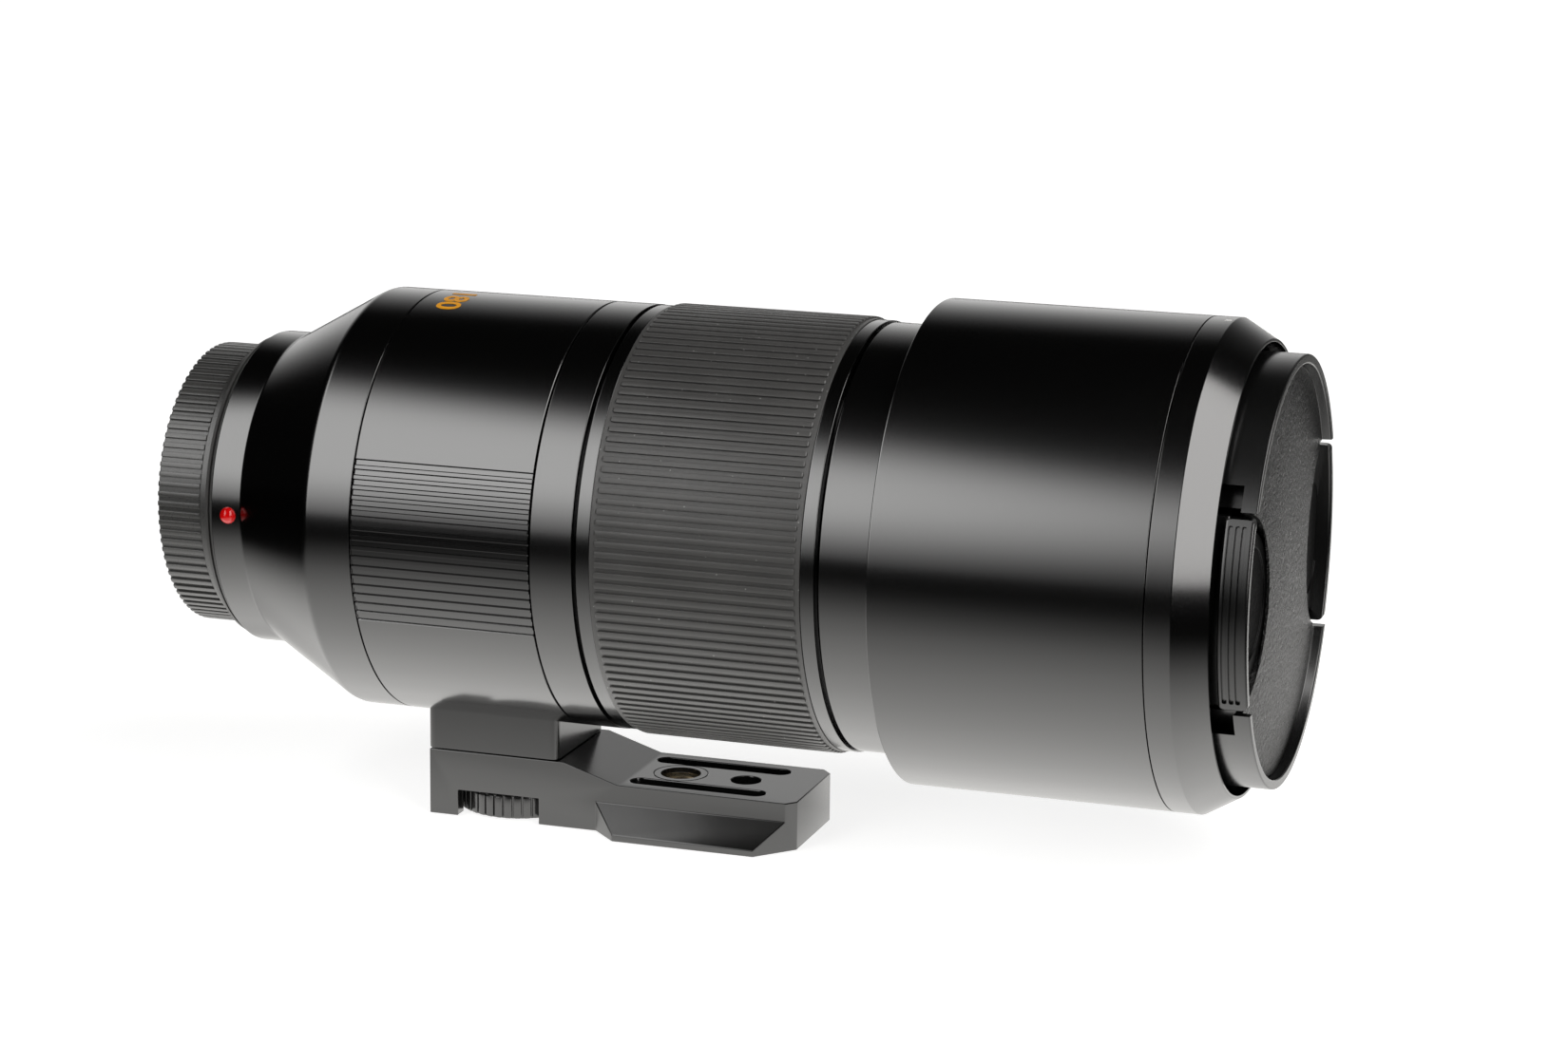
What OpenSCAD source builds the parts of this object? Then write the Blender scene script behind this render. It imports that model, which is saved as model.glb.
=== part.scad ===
// Telephoto zoom lens with a turning tripod collar, a hood stowed backwards and both caps on.
// The optical axis is X. The face of the bayonet flange is X = 0 and +X points at the subject.
// Clock angles run round the axis: 0 is down, 90 is +Y, 180 is up and 270 is -Y.

/* [Clearances] */
// Gap between pieces that turn or slide on each other
run = 0.3; // [0.25:0.05:0.35]
// Gap between fixed pieces that locate in each other
fit = 0.05; // [0.03:0.01:0.08]
// Gap between two rings, seen as a fine line
seam = 0.4; // [0.3:0.05:0.6]
// Width of the grooves at both ends of the zoom ring
groove = 0.9; // [0.6:0.1:1.2]

/* [Mount] */
// Step from the rear barrel down to the bayonet flange
flange_step = 1.8; // [1.4:0.1:2.4]
// Width of the bayonet flange outside the tube
flange_w = 7; // [6.6:0.1:7.6]
// Thickness of the bayonet flange
flange_t = 2; // [1.6:0.1:2.6]
// Wall of the bayonet tube
bayonet_wall = 1.8; // [1.4:0.1:2.2]
// Length of the bayonet behind the flange
bayonet_len = 5.6; // [5.2:0.1:6.4]
// Height of the bayonet lugs above the tube
mount_lug_h = 1.4; // [1:0.1:1.8]
// Thickness of the bayonet lugs
mount_lug_t = 1.6; // [1.2:0.1:2]
// Arc of each bayonet lug in degrees
mount_lug_angle = 38; // [30:1:42]
// Number of bayonet lugs
mount_lugs = 4; // [3:1:4]
// Width of the rubber seal round the flange
seal_w = 1; // [0.8:0.1:1.3]
// Thickness of the rubber seal
seal_t = 1.7; // [1.2:0.1:2]
// Thickness of the wall that carries the flange
end_wall = 3; // [2.5:0.1:4]
// Number of mount screws
mount_screw_count = 6; // [4:1:8]
// Radius of a mount screw's head
screw_head_r = 1.9; // [1.6:0.1:2.2]
// Height of a mount screw's head
screw_head_h = 1; // [0.8:0.1:1.4]
// Radius of a mount screw's shank
screw_shank_r = 1; // [0.8:0.1:1.2]
// Length of a mount screw below its head
screw_shank_len = 3; // [2.5:0.1:3.4]
// Number of contact pins
contact_count = 10; // [6:1:12]
// Radius of a contact pin
contact_r = 0.6; // [0.4:0.1:0.8]
// Height of a contact pin above its block
contact_h = 0.6; // [0.4:0.1:0.8]
// Arc of the contact block in degrees
contact_angle = 76; // [60:2:90]
// Height of the contact block across the radius
contact_w = 3.6; // [3:0.1:4.2]
// Length of the contact block along the axis
contact_len = 4.7; // [4:0.1:5]
// Radius of the red index bead
bead_r = 1.7; // [1.4:0.1:2]
// Distance of the bead from the flange
bead_x = 6; // [5.6:0.1:6.4]
// Clock angle of the bead
bead_clock = 269; // [0:0.5:359.5]

/* [Barrel] */
// Radius of the barrel skin, shared by the collar
barrel_r = 44; // [43.5:0.1:45]
// Step from the barrel skin down to the cylinder behind the cone
rear_step = 11; // [10:0.1:11.4]
// Distance from the flange to the foot of the cone
rear_len = 8.9; // [8.4:0.1:10]
// Length of the cone
cone_len = 19.3; // [17:0.1:22]
// Radius of the hollow blend at the foot of the cone
blend_r = 1.5; // [1:0.5:4]
// Chamfer on the barrel's outer edges
edge = 0.4; // [0.2:0.1:0.6]
// Length of the plain band between the cone and the collar
rear_band = 9.8; // [9.4:0.1:13]
// Wall of the rear barrel
rear_wall = 2.5; // [2:0.1:2.8]
// Length of the middle ring between the collar and the zoom ring
mid_len = 8.9; // [6:0.1:12]
// Wall of the collar and of the middle ring
skin = 2.4; // [2.2:0.1:2.8]
// Wall of the main barrel
main_wall = 2.5; // [2:0.1:2.8]
// Length of the main barrel held in the rear barrel
main_lap = 8.6; // [6:0.1:9]
// Step from the barrel skin down to the front barrel
front_step = 0.4; // [0:0.1:0.8]
// Length of the plain front band behind the focus ring
front_band = 13.7; // [12.5:0.1:18]
// Length of the main barrel held in the front barrel
front_lap = 11.7; // [8:0.1:12]
// Wall of the neck
neck_wall = 1.4; // [1.2:0.1:1.6]
// Length of the neck held in the filter ring
neck_lap = 7.2; // [5:0.1:8]
// Length of the filter ring
filter_len = 18.2; // [17.6:0.1:20]
// Wall of the filter ring round its thread
filter_wall = 2.6; // [2.2:0.1:2.8]
// Thickness of the sill behind the filter thread
filter_sill = 3; // [2:0.1:3.4]

/* [Zoom ring] */
// Step from the barrel skin down to the metal rims of the zoom ring
zoom_step = 0.1; // [0:0.1:0.4]
// Width of each metal rim
zoom_rim = 2.8; // [2:0.1:4]
// Length of the rubber grip
grip_len = 43.5; // [38:0.5:50]
// Thickness of the rubber at its ribs
grip_t = 1.5; // [1.2:0.1:1.7]
// Height of the rubber above the rims
grip_proud = 0.6; // [0.3:0.1:0.9]
// Number of ribs round the grip
grip_ribs = 132; // [96:4:144]
// Depth of the grooves between the ribs
rib_depth = 0.6; // [0.4:0.1:0.8]
// Share of the rib pitch that is rib
rib_share = 0.5; // [0.4:0.02:0.7]
// Width of the plain band at each end of the grip
grip_band = 1.2; // [0.8:0.1:2]
// Turn of the zoom ring in degrees
zoom_angle = 80; // [60:1:90]

/* [Zoom mechanism] */
// Gap between the cam barrel and the main barrel
cam_room = 3.4; // [3:0.1:4]
// Wall of the guide tube
guide_wall = 2; // [1.6:0.1:2.2]
// Thickness of the guide tube's flanges
guide_flange = 3; // [2.5:0.1:4]
// Distance from the collar's rear end to the guide tube
guide_start = 24; // [22:0.5:26]
// Distance from the guide tube's front end to the lens's front
guide_stop = 41; // [40:0.5:43]
// Wall of the cam barrel
cam_wall = 2.5; // [2:0.1:2.8]
// Gap between the guide tube's rear flange and the cam barrel
cam_start = 3.4; // [3.3:0.1:4]
// Length of guide tube in front of the cam barrel
cam_stop = 8; // [7.5:0.1:9]
// Width of the ring that keeps the cam barrel on the guide tube
retainer_w = 2; // [1.5:0.1:2.4]
// Radius of a cam roller
roller_r = 2; // [1.7:0.1:2.2]
// Radius of a roller's stud
stud_r = 1.2; // [1:0.1:1.4]
// Depth of a roller's stud in its cell
stud_len = 3; // [2.5:0.1:3.4]
// Length of cam slot past the roller's end positions
slot_end = 4; // [3.4:0.1:5]
// Length of a lens cell along the axis
cell_len = 16; // [14:0.5:17]
// Distance of the variator's rollers from the guide tube's front end at rest
variator_back = 18; // [17:0.5:20]
// Travel of the variator over the zoom turn
variator_travel = -30; // [-31:0.5:-24]
// Distance of the compensator's rollers from the guide tube's rear end at rest
compensator_start = 24; // [22:0.5:25]
// Travel of the compensator over the zoom turn
compensator_travel = 12; // [8:0.5:13]
// Wall of the moving lens cells
cell_wall = 5.3; // [4.4:0.1:7]
// Thickness of the moving lenses at the rim
group_lens_t = 6; // [5:0.5:7]
// Distance of the zoom key from the zoom ring's rear end
key_start = 17; // [16.5:0.1:18]
// Length of the zoom key along the axis
key_len = 6; // [5:0.1:7]
// Arc of the zoom key in degrees
key_angle = 10; // [8:0.5:12]
// Depth of the zoom key in the zoom sleeve
key_bite = 0.9; // [0.6:0.1:1]
// Clock angle of the zoom key at rest
key_clock = 130; // [90:1:180]

/* [Optics] */
// Wall of the front cell
front_cell_wall = 1.5; // [1.2:0.1:2]
// Distance of the front cell from the lens's front
front_recess = 10; // [9:0.5:12]
// Thickness of the front lens at the rim
front_lens_t = 4; // [3:0.5:5]
// Swell of the front lens's front face
front_lens_swell = 4.5; // [3:0.5:5]
// Thickness of the second lens at the rim
second_lens_t = 6; // [5:0.5:7]
// Width of the ring that holds the front lens
retaining_w = 2; // [1.6:0.1:2.4]
// Width of the cell's seat under each lens rim
lens_seat = 1.6; // [1:0.1:2]
// Wall of the rear cell
rear_cell_wall = 2.3; // [1.8:0.1:3]
// Thickness of the rear lens at the rim
rear_lens_t = 5; // [4:0.5:6]
// Length of the rear cell in front of its flange
rear_cell_len = 9; // [8:0.5:10]
// Thickness of the rear cell's flange
rear_cell_flange = 2; // [1.6:0.1:2.4]
// Thickness of the rear baffle
baffle_t = 1; // [0.8:0.1:1.4]
// Distance from the mount's bore to the sides of the rear baffle's window
window_side = 8.9; // [8:0.1:11]
// Distance from the mount's bore to the top of the rear baffle's window
window_top = 12.9; // [11:0.1:14]
// Thickness of the circuit board
board_t = 1.6; // [1.2:0.1:2]
// Width of the circuit board round the rear cell
board_w = 3.6; // [3:0.1:3.8]
// Length of the relay cell
relay_len = 20; // [18:0.5:21]
// Wall of the relay cell
relay_wall = 4; // [3:0.1:4.5]
// Thickness of the relay lens at the rim
relay_lens_t = 7; // [5:0.5:8]
// Length of the iris unit
iris_len = 8; // [7:0.1:9]
// Width of the iris ring across the radius
iris_w = 6; // [5:0.1:6.4]
// Wall of the iris housing
iris_wall = 0.8; // [0.6:0.1:1]
// Thickness of an iris blade
blade_t = 0.3; // [0.2:0.05:0.4]
// Number of iris blades
blade_count = 9; // [6:3:12]
// Arc of an iris blade in degrees
blade_angle = 66; // [40:1:70]

/* [Focus] */
// Length of the focus ring
focus_len = 40; // [36:0.5:44]
// Step from the barrel skin down to the focus ring's metal rims
focus_step = 0.6; // [0.2:0.1:1]
// Height of the focus rubber above its rims
focus_proud = 0.6; // [0.4:0.1:0.8]
// Thickness of the focus rubber
focus_grip_t = 1.5; // [1.2:0.1:1.7]
// Width of each metal rim of the focus ring
focus_rim = 3; // [2:0.1:5]
// Room between the focus rods and the focus cell
focus_room = 6; // [5.5:0.1:7]
// Thickness of the focus lens at the rim
focus_lens_t = 4; // [3:0.5:5]
// Wall of the focus cell
focus_cell_wall = 4; // [3:0.1:4.5]
// Length of the focus cell
focus_cell_len = 7; // [6:0.5:8]
// Travel of the focus cell each way
focus_travel = 5; // [4:0.5:5.5]
// Radius of the focus rods
rod_r = 1.5; // [1.2:0.1:1.8]
// Radius of the eyes that run on the rods
rod_eye_r = 3; // [2.6:0.1:3.4]
// Thickness of the magnet bars
magnet_t = 2; // [1.5:0.1:2.2]
// Width of the magnet bars
magnet_w = 7; // [5:0.5:8]

/* [Hood] */
// Step from the barrel skin out to the hood
hood_step = 5.2; // [4.8:0.1:7]
// Wall of the hood tube
hood_wall = 1.8; // [1.5:0.1:2.2]
// Distance that the hood stands in front of the lens
hood_overhang = 4.2; // [3.6:0.1:5]
// Length of the hood's bayonet ring
hood_ring_len = 11.6; // [10.5:0.1:13]
// Length of the hood tube
hood_tube_len = 54.1; // [48:0.1:58]
// Length of the chamfer at the hood's mouth
hood_chamfer = 6.5; // [5:0.1:8]
// Drop of the chamfer at the hood's mouth
hood_drop = 3.8; // [3:0.1:4.2]
// Length of the ring's spigot in the hood tube
hood_spigot = 5.4; // [4:0.1:7]
// Height of the hood lugs above the filter ring
hood_lug_h = 0.8; // [0.6:0.1:0.9]
// Thickness of the hood lugs
hood_lug_t = 2; // [1.6:0.1:2.4]
// Arc of each hood lug in degrees
hood_lug_angle = 40; // [30:1:45]
// Number of hood lugs
hood_lugs = 3; // [2:1:3]
// Distance of the lens's hood lugs from the lens's front
hood_lug_back = 3.2; // [2.6:0.1:3.6]

/* [Rear cap] */
// Wall of the rear cap over its ribs
rear_cap_wall = 2.9; // [2.5:0.1:4]
// Length of the rear cap behind the flange
rear_cap_len = 11.8; // [11.6:0.1:14]
// Thickness of the rear cap's floor
rear_cap_floor = 1.6; // [1.4:0.1:1.8]
// Gap round the bayonet lugs inside the rear cap
rear_cap_room = 1.2; // [0.8:0.1:1.4]
// Number of ribs round the rear cap
rear_cap_ribs = 90; // [60:2:100]
// Depth of the grooves between the cap's ribs
rear_cap_rib_depth = 0.6; // [0.4:0.1:0.8]
// Length of the plain band at the cap's mouth
rear_cap_band = 1.7; // [1.2:0.1:3]
// Thickness of the rear cap's lugs
rear_cap_lug_t = 1.6; // [1.2:0.1:1.8]

/* [Front cap] */
// Step from the front barrel down to the front cap
cap_step = 0.7; // [0.3:0.1:1]
// Height of the front cap in front of the lens
cap_height = 11.2; // [10.8:0.1:13]
// Wall of the front cap's skirt
cap_wall = 4.7; // [4.3:0.1:5]
// Thickness of the front cap's face
cap_face_t = 2.2; // [1.8:0.1:2.6]
// Depth of the face below the rim
cap_rim_h = 2; // [1.4:0.1:2.4]
// Width of the rim
cap_rim_w = 1.9; // [1.5:0.1:2.4]
// Length of the spigot in the filter thread
cap_spigot = 3.5; // [3:0.1:4]
// Gap between the spigot and the filter thread
cap_spigot_gap = 0.6; // [0.4:0.1:0.8]
// Half of a latch's length
latch_half = 20; // [18:0.5:21]
// Gap at each end of a latch
latch_gap = 0.6; // [0.4:0.1:1]
// Thickness of a latch's plate
latch_t = 2.3; // [2:0.1:2.6]
// Travel of a latch
latch_travel = 2.5; // [2:0.1:2.8]
// Radius of the finger recess
recess_r = 18; // [17:0.5:18.5]
// Distance of the finger recess's centre outside the cap
recess_step = 2.1; // [1:0.1:3]
// Wall and floor of the finger recess
recess_wall = 1.2; // [1:0.1:1.5]
// Number of grip grooves in a latch
latch_grooves = 3; // [2:1:4]
// Pitch of the latch's grip grooves
latch_pitch = 1.7; // [1.4:0.1:1.9]
// Depth of the latch's grip grooves
latch_groove_depth = 0.6; // [0.3:0.1:0.8]
// Half of the width of the cap's middle block
hub_half = 8; // [6:0.5:9]
// Length of a latch's tongue from the finger recess to the spring
tongue_len = 5.8; // [5:0.1:6.5]
// Half of the width of a latch's tongue
tongue_half = 4; // [3.4:0.1:5]
// Radius of a latch spring
spring_r = 2.4; // [2:0.1:2.6]
// Radius of the spring's wire
wire_r = 0.35; // [0.25:0.05:0.45]
// Turns of a latch spring
spring_turns = 6; // [4:1:7]

/* [Collar and foot] */
// Length of the tripod collar
collar_len = 38.1; // [36:0.1:44]
// Number of grip grooves in the collar
collar_grooves = 17; // [9:1:21]
// Angle between the grip grooves in degrees
collar_groove_angle = 2.67; // [2.4:0.01:3]
// Width of a grip groove
collar_groove_w = 1.2; // [0.8:0.1:1.4]
// Depth of a grip groove
collar_groove_depth = 0.35; // [0.2:0.05:0.6]
// Clock angle of the middle of the grip band
collar_groove_clock = 269; // [255:1:285]
// Distance from the collar's rear end to the lug
lug_start = 3.25; // [2:0.05:4]
// Length of the lug
lug_len = 29.1; // [28:0.1:31]
// Drop of the lug's underside below the collar
lug_h = 6.35; // [5.5:0.05:9]
// Chamfer on the upright edges of the lug
lug_edge = 1; // [0.5:0.1:1.5]
// Width of the lug and of the foot's body
foot_w = 26.6; // [26:0.2:30]
// Gap of the joint line between the lug and the foot
foot_joint = 0.3; // [0.2:0.05:0.4]
// Distance from the lug's underside to the foot's base
foot_h = 14.35; // [13.5:0.05:16]
// Length of the foot
foot_len = 80.6; // [78:0.1:90]
// Length of the foot's thick end past the lug
foot_heel = 1.4; // [0.5:0.1:3]
// Length of the slope from the thick end to the plate
foot_slope = 11.9; // [10:0.1:14]
// Thickness of the plate
plate_t = 10.3; // [9.5:0.1:11]
// Width over the dovetail's lips
dovetail_w = 38; // [37.8:0.1:38.4]
// Height of the dovetail
dovetail_h = 6.3; // [5.5:0.1:7]
// Height of the dovetail's upright lip
lip_h = 1.4; // [1:0.1:2]
// Distance from the foot's rear end to the dovetail
dovetail_start = 37.3; // [35:0.1:40]
// Width of the foot's front end
nose_w = 22.2; // [20:0.2:24]
// Length of the chamfers at the foot's front corners
nose_len = 6.9; // [5:0.1:9]
// Radius of the large tripod thread
thread_large_r = 4.76; // [4.7:0.01:4.8]
// Distance from the foot's rear end to the large thread
thread_large_x = 51.3; // [50:0.1:52]
// Wall of the large thread's insert
insert_wall = 0.9; // [0.7:0.1:1]
// Radius of the small tripod thread
thread_small_r = 3.175; // [3.1:0.005:3.2]
// Distance from the large thread to the small thread
thread_pitch = 14.4; // [12:0.1:16]
// Distance of the long pockets from the foot's middle
pocket_y = 8.25; // [8.2:0.05:8.6]
// Width of the long pockets
pocket_w = 4.4; // [4:0.1:4.6]
// Length of the long pockets
pocket_len = 29.5; // [26:0.5:32]
// Depth of the long pockets
pocket_depth = 3.5; // [2:0.1:3.8]
// Distance of the thumbwheel's axis in front of the lug's middle
wheel_x = 1.2; // [0:0.05:2]
// Radius of the thumbwheel
wheel_r = 13.2; // [12.2:0.1:13.4]
// Thickness of the thumbwheel
wheel_t = 5; // [4:0.1:5.4]
// Number of teeth round the thumbwheel
wheel_teeth = 40; // [24:1:48]
// Depth of the thumbwheel's teeth
wheel_tooth = 0.5; // [0.3:0.1:0.8]
// Share of the pitch that a tooth of the thumbwheel takes
wheel_share = 0.84; // [0.6:0.02:0.9]
// Length of the side openings for the thumbwheel
wheel_slot = 18.2; // [16:0.1:20]
// Radius of the foot screw
screw_r = 3; // [2.5:0.1:3.5]
// Radius of the dowels between the lug and the foot
dowel_r = 1.5; // [1.2:0.1:1.8]
// Half of the length of a dowel
dowel_half = 3.5; // [3:0.1:4]
// Distance of the dowels from the lug's ends
dowel_inset = 4.5; // [3:0.1:6]

/* [Collar lock] */
// Radius of the lock knob
knob_r = 8.5; // [8:0.1:9.5]
// Height of the lock knob
knob_h = 8.5; // [7:0.1:10]
// Number of flutes round the lock knob
knob_flutes = 18; // [14:1:24]
// Depth of the knob's flutes
knob_flute = 0.6; // [0.4:0.1:0.8]
// Radius of the boss on the collar
boss_r = 6.5; // [6:0.1:7]
// Height of the boss above the collar
boss_h = 2.2; // [1.8:0.1:3]
// Radius of the lock screw
lock_r = 2.5; // [2:0.1:3]

/* [Hidden] */
$fn = 96;

black = [0.07, 0.07, 0.075];
dark_rubber = [0.16, 0.16, 0.16];
dark_plastic = [0.13, 0.13, 0.135];
steel = [0.72, 0.73, 0.75];
brass = [0.78, 0.6, 0.28];
glass = [0.55, 0.7, 0.78, 0.5];
over = 1;

// Places along the axis, from the flange to the front
rear_end_x = rear_len + cone_len + rear_band;
collar_x = rear_end_x + seam;
mid_x = collar_x + collar_len + seam;
zoom_x = mid_x + mid_len + groove;
zoom_len = grip_len + 2 * zoom_rim;
front_x = zoom_x + zoom_len + groove;
focus_x = front_x + front_band + seam;
filter_x = focus_x + focus_len + seam;
lens_x = filter_x + filter_len;
main_x = rear_end_x - main_lap;
main_end_x = front_x + front_lap;
neck_end_x = filter_x + neck_lap;
hood_end_x = lens_x + hood_overhang;
hood_seam_x = hood_end_x - hood_ring_len;
cap_end_x = lens_x + cap_height;
end_wall_x = flange_t + end_wall;

// Radii that follow from the walls and clearances
rear_r = barrel_r - rear_step;
rear_in = rear_r - rear_wall;
flange_r = rear_r - flange_step;
bayonet_r = flange_r - flange_w;
bayonet_in = bayonet_r - bayonet_wall;
screw_circle_r = (flange_r + bayonet_r) / 2;
collar_in = barrel_r - skin;
main_r = collar_in - run;
main_in = main_r - main_wall;
front_r = barrel_r - front_step;
neck_r = main_r - run;
neck_in = neck_r - neck_wall;
filter_r = front_r - filter_wall;
front_lens_r = neck_in - 2 * fit - front_cell_wall;
cam_r = main_in - cam_room;
cam_in = cam_r - cam_wall;
guide_r = cam_in - run;
guide_in = guide_r - guide_wall;
cell_r = guide_in - run;
group_lens_r = cell_r - cell_wall;
zoom_r = barrel_r - zoom_step;
grip_r = zoom_r + grip_proud;
focus_in = neck_r + run;
focus_rim_r = barrel_r - focus_step;
focus_grip_r = focus_rim_r + focus_proud;
hood_r = barrel_r + hood_step;
hood_in = hood_r - hood_wall;
hood_lug_r = front_r + hood_lug_h;
hood_bore = hood_lug_r + seam;
mount_lug_r = bayonet_r + mount_lug_h;
rear_cap_in = mount_lug_r + rear_cap_room;
rear_cap_r = rear_cap_in + rear_cap_wall;
cap_r = front_r - cap_step;
cap_in = cap_r - cap_wall;
recess_out = recess_r + recess_wall;
recess_offset = cap_r + recess_step;
tongue_end = recess_offset - recess_out - tongue_len;

// The zoom mechanism
guide_x = collar_x + guide_start;
guide_end_x = lens_x - guide_stop;
front_cell_len = guide_stop - front_recess;
cam_x = guide_x + guide_flange + cam_start;
cam_end_x = guide_end_x - cam_stop;
variator_x = guide_end_x - variator_back;
compensator_x = guide_x + compensator_start;
key_x = zoom_x + key_start;
key_r = collar_in + key_bite;
roller_slot = 2 * (roller_r + run);
third = 360 / 3;

// The foot, below the lug
lug_x = collar_x + lug_start;
lug_drop = barrel_r + lug_h;
foot_x = lug_x + foot_joint;
foot_block = lug_len + foot_heel - foot_joint;
foot_top = -lug_drop - foot_joint;
foot_base = -lug_drop - foot_h;
plate_top = foot_base + plate_t;
wheel_axis_x = lug_x + lug_len / 2 + wheel_x;
wheel_roof = foot_base + wheel_t + 2 * run;
lip_rise = (dovetail_w - foot_w) / 2;

bead_seat = edge + bead_r;

// The rear cell and the focus group
rear_cell_r = bayonet_in - fit;
rear_lens_r = rear_cell_r - fit - rear_cell_wall;
rear_cell_x = flange_t - baffle_t;
rear_cell_end_x = end_wall_x + rear_cell_flange + rear_cell_len;
relay_x = guide_x - relay_len;
relay_r = guide_in - 2 * run;
relay_lens_r = relay_r - relay_wall;
relay_flange_x = guide_x - relay_wall;
rod_circle_r = relay_r - relay_wall / 2;
magnet_r = rod_circle_r - magnet_t / 2;
focus_cell_r = rod_circle_r - focus_room;
focus_lens_r = focus_cell_r - focus_cell_wall;
focus_cell_x = (rear_cell_end_x + relay_x - focus_cell_len) / 2;
board_x = end_wall_x + rear_cell_flange;

// The front cap and its latches
cap_face_x = cap_end_x - cap_rim_h;
cap_roof_x = cap_face_x - cap_face_t;
cap_skirt_x = lens_x + run;
spigot_r = filter_r - cap_spigot_gap;
spigot_x = cap_skirt_x - cap_spigot;
latch_in = cap_r - latch_t;
latch_cup_x = cap_roof_x - run;
latch_floor_x = cap_skirt_x + run;
spring_x = (latch_floor_x + latch_cup_x) / 2;

// Turns the children's Z axis onto the optical axis
module on_axis(clock = 0, x = 0)
    rotate([0, 90, 0])
        rotate([0, 0, clock])
            translate([0, 0, x])
                children();

// A solid of revolution from points given as [place along the axis, radius]
module turned(profile)
    on_axis()
        rotate_extrude()
            polygon([for (p = profile) [p[1], p[0]]]);

module disc(x0, x1, r)
    on_axis(0, x0)
        cylinder(h = x1 - x0, r = r);

module ring(x0, x1, r_in, r_out)
    turned([[x0, r_in], [x1, r_in], [x1, r_out], [x0, r_out]]);

// A ring with both outer edges chamfered
module trim_ring(x0, x1, r_in, r_out)
    turned([[x0, r_in], [x1, r_in], [x1, r_out - edge], [x1 - edge, r_out], [x0 + edge, r_out],
        [x0, r_out - edge]]);

// A piece of a ring, centred on a clock angle
module sector(x0, x1, r_in, r_out, arc, clock)
    on_axis(clock - arc / 2, x0)
        rotate_extrude(angle = arc)
            translate([r_in, 0])
                square([r_out - r_in, x1 - x0]);

// A pin that points away from the axis
module radial_pin(x, clock, r, from_r, to_r)
    on_axis(clock, x)
        translate([from_r, 0, 0])
            rotate([0, 90, 0])
                cylinder(h = to_r - from_r, r = r);

function rib_point(r, angle) = [r * cos(angle), r * sin(angle)];

// The outline of a toothed disc: each tooth is four points
function toothed(r, depth, count, share) = [for (i = [0 : count - 1])
    let (foot = share / 2 + (1 - share) / 8)
        for (p = [[r, -share / 2], [r, share / 2], [r - depth, foot], [r - depth, 1 - foot]])
            rib_point(p[0], (i + p[1]) * 360 / count)];

// A tube with ribs along the axis, which stop short of both ends
module ribbed_tube(x0, x1, band, r_in, r_out, depth, count) {
    difference() {
        union() {
            disc(x0, x1, r_out - depth + fit, $fn = 2 * count);
            on_axis(0, x0 + band)
                linear_extrude(height = x1 - x0 - 2 * band)
                    polygon(toothed(r_out, depth, count, rib_share));
        }
        disc(x0 - over, x1 + over, r_in, $fn = 2 * count);
    }
}

// Points of a shallow arc from the axis to the rim, as [place along the axis, radius]
lens_steps = 8;
function swell_at(r, swell, y) = let (bend = (r * r + swell * swell) / (2 * abs(swell)))
    sign(swell) * (abs(swell) - bend + sqrt(bend * bend - y * y));

function lens_arc(x, r, swell, way) = [for (i = [0 : lens_steps])
    let (y = r * i / lens_steps) [x + way * swell_at(r, swell, y), y]];

function backwards(list) = [for (i = [len(list) - 1 : -1 : 0]) list[i]];

// A lens with rims from x0 to x1: a positive swell bulges outwards and a negative one is hollow
module element(x0, x1, r, rear_swell, front_swell)
    turned(concat(lens_arc(x0, r, rear_swell, -1), backwards(lens_arc(x1, r, front_swell, 1))));

// The mount
module bayonet_mount() color(steel) {
    difference() {
        union() {
            ring(-bayonet_len, 0, bayonet_in, bayonet_r);
            ring(0, flange_t, bayonet_in, flange_r);
            for (i = [0 : mount_lugs - 1])
                sector(-bayonet_len, mount_lug_t - bayonet_len, bayonet_r - bayonet_wall / 2, mount_lug_r,
                    mount_lug_angle, i * 360 / mount_lugs);
        }
        for (i = [0 : mount_screw_count - 1])
            on_axis((i + 0.5) * 360 / mount_screw_count)
                translate([screw_circle_r, 0, 0])
                    screw_hole();
    }
}

module screw_hole() {
    translate([0, 0, -over])
        cylinder(h = screw_head_h + over, r = screw_head_r + fit);
    cylinder(h = flange_t + over, r = screw_shank_r + fit);
}

module mount_screws() color(steel)
    for (i = [0 : mount_screw_count - 1])
        on_axis((i + 0.5) * 360 / mount_screw_count)
            translate([screw_circle_r, 0, 0]) {
                cylinder(h = screw_head_h, r = screw_head_r);
                cylinder(h = screw_head_h + screw_shank_len, r = screw_shank_r);
            }

module contact_block() color(dark_plastic)
    sector(rear_cell_x - baffle_t - contact_len, rear_cell_x - baffle_t, bayonet_in - fit - contact_w,
        bayonet_in - fit, contact_angle, 180);

module contact_pins() color(brass)
    for (i = [0 : contact_count - 1])
        on_axis(180 + (i + 0.5 - contact_count / 2) * contact_angle / contact_count,
            rear_cell_x - baffle_t - contact_len - contact_h)
            translate([bayonet_in - fit - contact_w / 2, 0, 0])
                cylinder(h = contact_h, r = contact_r);

module mount_seal() color(dark_rubber)
    ring(flange_t - seal_t, flange_t, flange_r + fit, flange_r + seal_w);

module rear_baffle() color(black)
    difference() {
        disc(rear_cell_x - baffle_t, rear_cell_x, bayonet_in - fit);
        translate([rear_cell_x - baffle_t / 2, 0, 0])
            cube([2 * baffle_t, 2 * (bayonet_in - window_side), 2 * (bayonet_in - window_top)],
                center = true);
    }

// The fixed barrel
function blend_arc(x, r, bend_r, slope, steps) = [for (i = [0 : steps])
    let (a = slope * i / steps, start = x - bend_r * tan(slope / 2))
        [start + bend_r * sin(a), r + bend_r * (1 - cos(a))]];

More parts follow.
